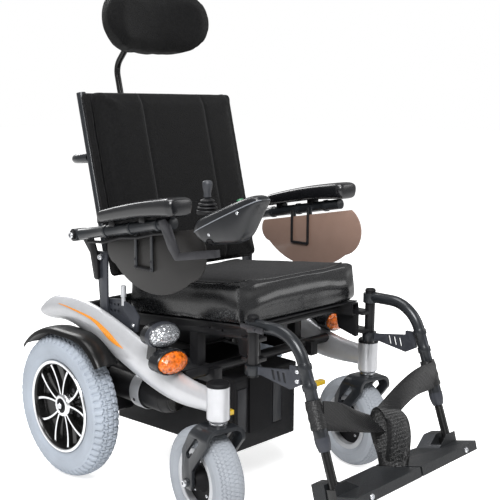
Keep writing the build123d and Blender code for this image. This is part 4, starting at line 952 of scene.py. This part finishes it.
def joystick():
    """Bellows boot and the knob above it."""
    pivot = joint_place("joystick_roll")
    low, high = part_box("joystick_boot")
    fold_count, fold_pitch = 3, 0.0068
    profile = [(low.z, 0.0225)]
    for index in range(fold_count):
        base = low.z + 0.0045 + index * fold_pitch
        wide = 0.0230 - 0.0020 * index
        profile += [(base, wide), (base + 0.0016, wide + 0.0002), (base + 0.0032, wide - 0.0010),
                    (base + 0.0048, wide - 0.0062)]
    top = high.z
    profile += [(top - 0.006, 0.0145), (top - 0.0045, 0.0150), (top - 0.003, 0.0130), (top - 0.001, 0.0085),
                (top, 0.0054)]
    profile = [(z - pivot.z, r) for z, r in profile]
    bellows = revolved("joystick_bellows", profile, pivot, (0, 0, 1), "rubber", None, 64,
                       replaced=["joystick_boot"], angle=70.0)
    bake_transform(bellows)
    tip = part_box("joystick")[1].z - pivot.z
    profile = [(-0.008, 0.0048), (0.026, 0.0048), (0.0275, 0.0068), (0.0285, 0.0080), (0.030, 0.0078),
               (0.034, 0.0072), (0.040, 0.0082), (0.046, 0.0098), (tip - 0.0075, 0.0105),
               (tip - 0.0035, 0.0096), (tip - 0.001, 0.0066), (tip, 0.0002)]
    revolved("joystick_knob", profile, pivot, (0, 0, 1), "knob", "joystick_lever", 48, replaced=["joystick"],
             angle=60.0)


# ---------------------------------------------------------------- base


def side_frames():
    """Pearl side members with an orange swoosh on each outer face."""
    node = "side_frames"
    obj = dressed(node, "pearl", 0.0)
    tree = surface_of(obj)
    spine = [(0.124, 0.3575, 0.0005), (0.147, 0.3650, 0.0048), (0.165, 0.3725, 0.0076),
             (0.184, 0.3810, 0.0086), (0.206, 0.3915, 0.0066), (0.227, 0.4010, 0.0045),
             (0.251, 0.4080, 0.0030), (0.275, 0.4120, 0.0024), (0.312, 0.4165, 0.0019),
             (0.350, 0.4205, 0.0013), (0.383, 0.4220, 0.0006)]
    rows, columns = 60, 7
    for hand, side in SIDES.items():
        verts = []
        for y in np.linspace(spine[-1][0], spine[0][0], rows):
            mid, half = reading(spine, y, 1), reading(spine, y, 2)
            for share in np.linspace(-1, 1, columns):
                start = Vector((side * 0.4, y, mid + half * share))
                hit = tree.ray_cast(start, ACROSS * -side)[0] or Vector((side * 0.27, y, mid))
                verts.append(hit + ACROSS * side * SURFACE_LIFT)
        faces = loft_faces(rows, columns, wrap=False)
        stripe = make(f"swoosh_{hand}", verts, faces, "orange", "chassis", slot="frame_silver")
        thick = stripe.modifiers.new("thick", "SOLIDIFY")
        thick.thickness = 0.0006
        thick.offset = 1.0
        apply_all(stripe)
        shade(stripe, 60.0)


def mudguard(hand, side):
    """Gloss guard with turned-down edges that follows the tyre and ends in a flared front."""
    axle, _ = middle(f"drive_tyre_{hand}")
    inner, radius, front_y, bend = 0.262, 0.1935, 0.268, 0.12835
    path = []
    for degrees in np.linspace(47, 0, 24):
        turn = radians(degrees)
        path.append((axle.y + radius * sin(turn), axle.z + radius * cos(turn), turn))
    for degrees in np.linspace(4, 57, 26):
        turn = radians(degrees)
        path.append((front_y - bend * sin(turn), axle.z + radius - bend + bend * cos(turn), -turn))
    section = [(0.0, -0.010), (0.001, -0.003), (0.005, 0.001), (0.016, 0.0032), (0.032, 0.0040),
               (0.048, 0.0032), (0.059, 0.001), (0.063, -0.003), (0.064, -0.010), (0.0625, -0.010),
               (0.0612, -0.0035), (0.057, -0.001), (0.032, 0.0015), (0.007, -0.001), (0.0028, -0.0035),
               (0.0015, -0.010)]
    rings = []
    for y, z, turn in path:
        out = Vector((0, sin(turn), cos(turn)))
        rings.append([Vector((side * (inner + across), y, z)) + out * rise for across, rise in section])
    return loft(f"mudguard_{hand}_moulded", rings, "guard_black", "chassis", slot="guard_gloss_black",
                angle=45.0)


def base():
    """Battery box, motors, lamps and the parts between the side members."""
    side_frames()
    guards = [mudguard(hand, side) for hand, side in SIDES.items()]
    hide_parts("mudguards")
    front_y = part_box("battery_box")[0].y
    for index, x in enumerate((-0.096, 0.024)):
        box(f"battery_panel_{index}", (x, front_y - 0.0006, 0.154), (x + 0.030, front_y + 0.0012, 0.260),
            "panel_grey", "chassis", 0.0004, slot="battery_grey")
    motor_x, motor_z = 0.172, 0.228
    for hand, side in SIDES.items():
        centre = Vector((side * motor_x, 0.165, motor_z))
        ring = [(-0.017, 0.0440), (-0.017, 0.0448), (-0.014, 0.0458), (0.014, 0.0458), (0.017, 0.0448),
                (0.017, 0.0440)]
        revolved(f"motor_clamp_{hand}", ring, centre, (0, 1, 0), "white_alloy", "chassis", 72,
                 slot="motor_black")
        for turn in (20, 110, 200, 290):
            away = ACROSS * cos(radians(turn)) + UP * sin(radians(turn))
            bolt(f"motor_screw_{hand}_{turn}", centre + away * 0.0455, away, 0.0040, "zinc", "chassis", 0.7)
        end = Vector((side * motor_x, 0.058, motor_z))
        dome = [(-0.004, 0.0300), (0.001, 0.0280), (0.004, 0.0200), (0.005, 0.0080), (0.005, 0.0002)]
        revolved(f"motor_cap_{hand}", dome, end, (0, -1, 0), "gloss_black", "chassis", 48, slot="motor_black")
        dressed(f"freewheel_lever_{hand}", "yellow", 0.0016)
    for node, look, width in (("battery_box", "box_black", 0.0012), ("battery_box_lid", "matt_black", 0.0015),
                              ("gear_motors", "black_paint", 0.0014), ("chassis_frame", "black_paint", 0.001),
                              ("seat_frame", "black_paint", 0.001), ("head_tube_caps", "matt_black", 0.0),
                              ("power_module", "panel_grey", 0.001), ("back_hinge_plates", "slate", 0.0009),
                              ("armrest_brackets", "black_paint", 0.0008), ("back_canes", "gunmetal", 0.0008),
                              ("push_bar", "gunmetal", 0.0008), ("headrest_stem", "gloss_black", 0.0006),
                              ("controller_bracket", "zinc", 0.0008)):
        dressed(node, look, width)
    side_bolts()
    lamps()


def side_bolts():
    """A bright hinge pin and screws beside the seat, where the side plates bolt on."""
    pivot = joint_place("backrest_recline")
    plate_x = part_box("back_hinge_plates")[1].x
    for hand, side in SIDES.items():
        out = ACROSS * side
        bolt(f"recline_bolt_{hand}", (side * plate_x, pivot.y, pivot.z), out, 0.0075, "steel", "chassis", 0.5)
        bolt(f"side_plate_bolt_{hand}", (side * 0.2366, 0.137, 0.402), out, 0.0060, "steel", "chassis", 0.6)
        pin = [(-0.020, 0.0052), (0.0, 0.0052), (0.001, 0.0070), (0.026, 0.0070), (0.028, 0.0055),
               (0.028, 0.0002)]
        revolved(f"side_plate_pin_{hand}", pin, (side * 0.2337, 0.176, 0.464), UP, "white_alloy", "chassis",
                 24, slot="bright_steel")


def facets(centre, radii, rings, sides):
    """Rings of a faceted half ellipsoid that bulges toward -Y."""
    made = []
    for ring in range(rings + 1):
        polar = pi / 2 * (1 - ring / rings) * 0.98 + 0.02
        points = []
        for step in range(sides):
            turn = 2 * pi * (step + 0.5 * (ring % 2)) / sides
            points.append(centre + Vector((radii[0] * sin(polar) * cos(turn), -radii[1] * cos(polar),
                                           radii[2] * sin(polar) * sin(turn))))
        made.append(points)
    return made


def lamps():
    """Headlamps with a bright faceted bowl under a clear lens, and amber turn lamps, in rimmed housings."""
    dressed("lamp_housings", "lamp_rim", 0.0022, 3)
    rim = ((0.010, 0.0012), (-0.001, 0.0012), (-0.0030, 0.0026), (-0.001, 0.0042), (0.010, 0.0046))
    width = 0.040
    for kind, look, rim_look, slot in (("headlamp", "reflector", "slate", "lens_clear"),
                                       ("turn", "amber", "lamp_rim", "lens_amber")):
        low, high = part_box(f"{kind}_lenses")
        height = (high.z - low.z) / 2
        for hand, side in SIDES.items():
            centre = Vector((side * (high.x - width), low.y + 0.022, (low.z + high.z) / 2))
            bowl = facets(centre + Vector((0, 0.001, 0)), (width + 0.0010, 0.026, height + 0.0010), 6, 16)
            name = f"{kind}_facets_{hand}"
            loft(name, bowl, look, "chassis", angle=4.0, slot=slot)
            rings = [circle(centre + Vector((0, back, 0)), ACROSS * (width + grow), UP * (height + grow), 72)
                     for back, grow in rim]
            faces = loft_faces(len(rings), 72, ringed=True)
            make(f"{kind}_bezel_{hand}", sum(rings, []), faces, rim_look, "chassis", slot="lamp_black")
            if kind == "headlamp":
                cover = facets(centre, (width + 0.0016, 0.0272, height + 0.0016), 14, 48)
                name = f"headlamp_cover_{hand}"
                loft(name, cover, "clear", "chassis", angle=80.0, slot=slot)
    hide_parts("headlamp_lenses")
    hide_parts("turn_lenses")


# ---------------------------------------------------------------- legrests


def ribbon(name, path, wide, thickness, look, body, **options):
    """A strap along a path; wide gives its half width vector at each point."""
    path = [Vector(p) for p in path]
    rings = []
    for index, point in enumerate(path):
        heading = (path[min(index + 1, len(path) - 1)] - path[max(index - 1, 0)]).normalized()
        across = Vector(wide[index])
        normal = heading.cross(across).normalized()
        ring = []
        for face in (1, -1):
            for share in (-1, -0.97, -0.5, 0, 0.5, 0.97, 1):
                rise = face * thickness / 2 * (0.45 if abs(share) == 1 else 1.0)
                ring.append(point + across * share * face + normal * rise)
        rings.append(ring)
    return loft(name, rings, look, body, angle=50.0, **options)


def hanger_line(hand):
    """A point on the hanger tube's straight run, as a function of height, and its direction."""
    slide = joint_axis(f"footrest_length_{hand}")
    x = joint_place(f"legrest_swing_{hand}").x
    foot = joint_place(f"footplate_flip_{hand}") + Vector((0, 0.0080, 0.0117))

    def at(z):
        return Vector((x, foot.y + (z - foot.z) * slide.y / slide.z, z))

    return at, slide


def legrest(hand, side):
    """Hanger with a lighter gusset, its cap, collar and screws, extension tube, footplate and strap."""
    body = f"legrest_{hand}"
    at, slide = hanger_line(hand)
    hanger = dressed(f"hanger_{hand}", "gunmetal", 0.0008)
    hanger.data.materials.append(M["slate"])
    post = joint_place(f"legrest_swing_{hand}")
    for polygon in hanger.data.polygons:
        c = polygon.center
        flat = abs(abs(c.x - post.x) - 0.003) < 0.0015
        if flat and c.z < 0.402 and c.y < post.y - 0.02:
            polygon.material_index = 1
    dressed(f"legrest_latch_{hand}", "zinc", 0.0008)
    dressed(f"footrest_tube_{hand}", "gloss_black", 0.0012)
    for index, z in enumerate((0.388, 0.368)):
        place = (post.x + side * 0.0032, -0.343, z)
        bolt(f"gusset_screw_{hand}_{index}", place, ACROSS * side, 0.0048, "steel", body, 0.5)
    cap = [(0.0, 0.0125), (0.004, 0.0128), (0.0075, 0.0105), (0.0085, 0.0050), (0.0085, 0.0002)]
    revolved(f"post_cap_{hand}", cap, (post.x, post.y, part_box(f"hanger_{hand}")[1].z - 0.001), UP,
             "matt_black", "chassis", 40, slot="chassis_black")
    cone = [(-0.012, 0.0155), (-0.004, 0.0157), (0.004, 0.0150), (0.016, 0.0122), (0.0175, 0.0100)]
    revolved(f"sleeve_collar_{hand}", cone, at(0.2575), slide, "slate", body, 48, slot="gunmetal")
    footplate(hand)
    calf_strap(hand, side)


def calf_strap(hand, side):
    """Webbing sleeve round the hanger and the band that runs from it to the middle."""
    node = f"calf_strap_{hand}"
    body = f"legrest_{hand}"
    at, slide = hanger_line(hand)
    outer, half = 0.0172, 0.030
    profile = [(0.0285 * share, outer + 0.0006 * sin(share * 9)) for share in np.linspace(-1, 1, 15)]
    profile += [(0.0285, outer - 0.0014), (-0.0285, outer - 0.0014)]
    revolved(f"{node}_sleeve", profile, at(0.311), slide, "webbing", body, 40, replaced=[node], angle=60.0)
    x, wrap_y, top = at(0.311)
    sag = (0.304, 0.287, 0.265, 0.244) if hand == "right" else (0.312, 0.309, 0.290, 0.256)
    path = [(x - side * 0.004, wrap_y - outer + 0.001, top),
            (x - side * 0.030, wrap_y - outer + 0.001, sag[0]),
            (x - side * 0.080, wrap_y - outer + 0.002, sag[1]),
            (x - side * 0.135, wrap_y - outer + 0.004, sag[2]),
            (x - side * 0.197, wrap_y - outer + 0.006, sag[3])]
    path = smooth_path(path, 8)
    count = len(path)
    turned = [min(1.0, max(0.0, i / count * 1.6 - 0.6)) for i in range(count)]
    wide = [Vector((0, 0.003 + 0.017 * t, half - 0.018 * t)) for t in turned]
    band = ribbon(f"{node}_band", path, wide, 0.0030, "webbing", body, slot="webbing_black")
    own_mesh(band)


def heel_strap():
    """A loop of webbing that stands up from the right footplate."""
    low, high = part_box("heel_strap")
    x = (low.x + high.x) / 2
    path = [(x - 0.002, low.y + 0.018, low.z + 0.012), (x - 0.002, low.y + 0.024, low.z + 0.035),
            (x - 0.004, low.y + 0.036, low.z + 0.065), (x - 0.003, low.y + 0.046, low.z + 0.095),
            (x, low.y + 0.042, high.z - 0.010), (x + 0.002, low.y + 0.028, high.z - 0.002),
            (x + 0.004, low.y + 0.012, high.z - 0.016), (x + 0.005, low.y + 0.004, high.z - 0.045),
            (x + 0.005, low.y + 0.004, high.z - 0.080), (x + 0.005, low.y + 0.008, low.z + 0.012)]
    path = smooth_path(path, 8)
    wide = [Vector((0.011, -0.022, 0)) for _ in path]
    obj = ribbon("heel_strap_band", path, wide, 0.0030, "webbing", "legrest_right", replaced=["heel_strap"])
    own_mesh(obj)


def footplate(hand):
    """Footplate with rounded edges, lighter chamfers and a bolt through its hinge."""
    node = f"footplate_{hand}"
    obj = dressed(node, "foot", 0.0035, 1)
    obj.data.materials.append(M["foot_edge"])
    axis = joint_axis(f"footplate_flip_{hand}")
    way = axis * -copysign(1, axis.y)
    up = way.cross(ACROSS)
    for polygon in obj.data.polygons:
        if 0.3 < polygon.normal.dot(up) < 0.93:
            polygon.material_index = 1
    pivot = joint_place(f"footplate_flip_{hand}")
    bolt(f"footplate_bolt_{hand}", pivot + way * 0.0602, way, 0.0062, "steel", body_of(node), 0.5)


# ---------------------------------------------------------------- light and camera


# Name, place, size and power.
LIGHTS = (("key", (-2.0, -1.9, 3.0), 1.5, 165), ("fill", (2.6, -2.4, 2.2), 1.8, 28),
          ("top", (-0.4, 0.2, 3.4), 1.6, 60), ("rim", (0.6, 3.0, 2.6), 1.6, 60))
LIT_POINT = Vector((0, 0, 0.5))
# Azimuth from -Y toward +X, elevation and roll, in degrees.
CAMERA_ANGLES = (-45.53, 9.11, 0.37)
CAMERA_TARGET = Vector((0.02316, 0.01283, 0.56672))
CAMERA_DISTANCE = 2.16322
CAMERA_LENS = 64.73


def camera_sees(tree, socket, straight, bounced):
    """A strength that is one value to the camera and another to reflections and bounced light."""
    path = tree.nodes.new("ShaderNodeLightPath")
    spanned = tree.nodes.new("ShaderNodeMapRange")
    spanned.inputs["To Min"].default_value = bounced
    spanned.inputs["To Max"].default_value = straight
    tree.links.new(path.outputs["Is Camera Ray"], spanned.inputs["Value"])
    tree.links.new(spanned.outputs["Result"], socket)


def studio():
    """Pale floor, soft overhead light and the camera."""
    pale = material("pale_floor", (0.90, 0.90, 0.90), 0.85, spread=0.01, patch=2.0, bumps=(), gleam=0.0)
    shader = pale.node_tree.nodes["Principled BSDF"]
    shader.inputs["Emission Color"].default_value = (1, 1, 1, 1)
    camera_sees(pale.node_tree, shader.inputs["Emission Strength"], 0.72, 0.05)
    bpy.ops.mesh.primitive_plane_add(size=60, location=(0, 0, 0))
    floor = bpy.context.object
    floor.name = "floor"
    floor.data.materials.append(pale)
    scene = bpy.context.scene
    scene.world = bpy.data.worlds.new("studio")
    scene.world.use_nodes = True
    background = scene.world.node_tree.nodes["Background"]
    background.inputs["Color"].default_value = (1.0, 1.0, 1.0, 1)
    camera_sees(scene.world.node_tree, background.inputs["Strength"], 1.0, 0.42)
    for name, place, size, power in LIGHTS:
        lamp = bpy.data.lights.new(name, "AREA")
        lamp.size = size
        lamp.energy = power
        obj = bpy.data.objects.new(name, lamp)
        obj.location = place
        obj.rotation_euler = (LIT_POINT - Vector(place)).to_track_quat("-Z", "Y").to_euler()
        scene.collection.objects.link(obj)
    azimuth, elevation, roll = (radians(angle) for angle in CAMERA_ANGLES)
    back = Vector((sin(azimuth) * cos(elevation), -cos(azimuth) * cos(elevation), sin(elevation)))
    right = UP.cross(back).normalized()
    up = back.cross(right)
    turned_right = right * cos(roll) + up * sin(roll)
    turned_up = up * cos(roll) - right * sin(roll)
    rotation = Matrix((turned_right, turned_up, back)).transposed().to_4x4()
    camera = bpy.data.objects.new("camera", bpy.data.cameras.new("camera"))
    camera.matrix_world = Matrix.Translation(CAMERA_TARGET + back * CAMERA_DISTANCE) @ rotation
    camera.data.lens = CAMERA_LENS
    camera.data.sensor_width = 36.0
    scene.collection.objects.link(camera)
    scene.camera = camera
    scene.view_settings.view_transform = "Standard"


for shown_node, shown_object in frame["nodes"].items():
    shown_object.data.materials.clear()
    shown_object.data.materials.append(M[LOOK.get(base_name(shown_node), "matt_black")])
for hand_name, side_sign in SIDES.items():
    tyre(f"drive_tyre_{hand_name}", (1, 0, 0), 0.0262, 0.1118, 0.0360, 0.178, drive_tread, 58, 12)
    drive_rim(hand_name, side_sign)
    caster(hand_name)
    armrest(hand_name, side_sign)
    legrest(hand_name, side_sign)
base()
seat_cushion()
back_cushion()
headrest()
controller()
heel_strap()
studio()
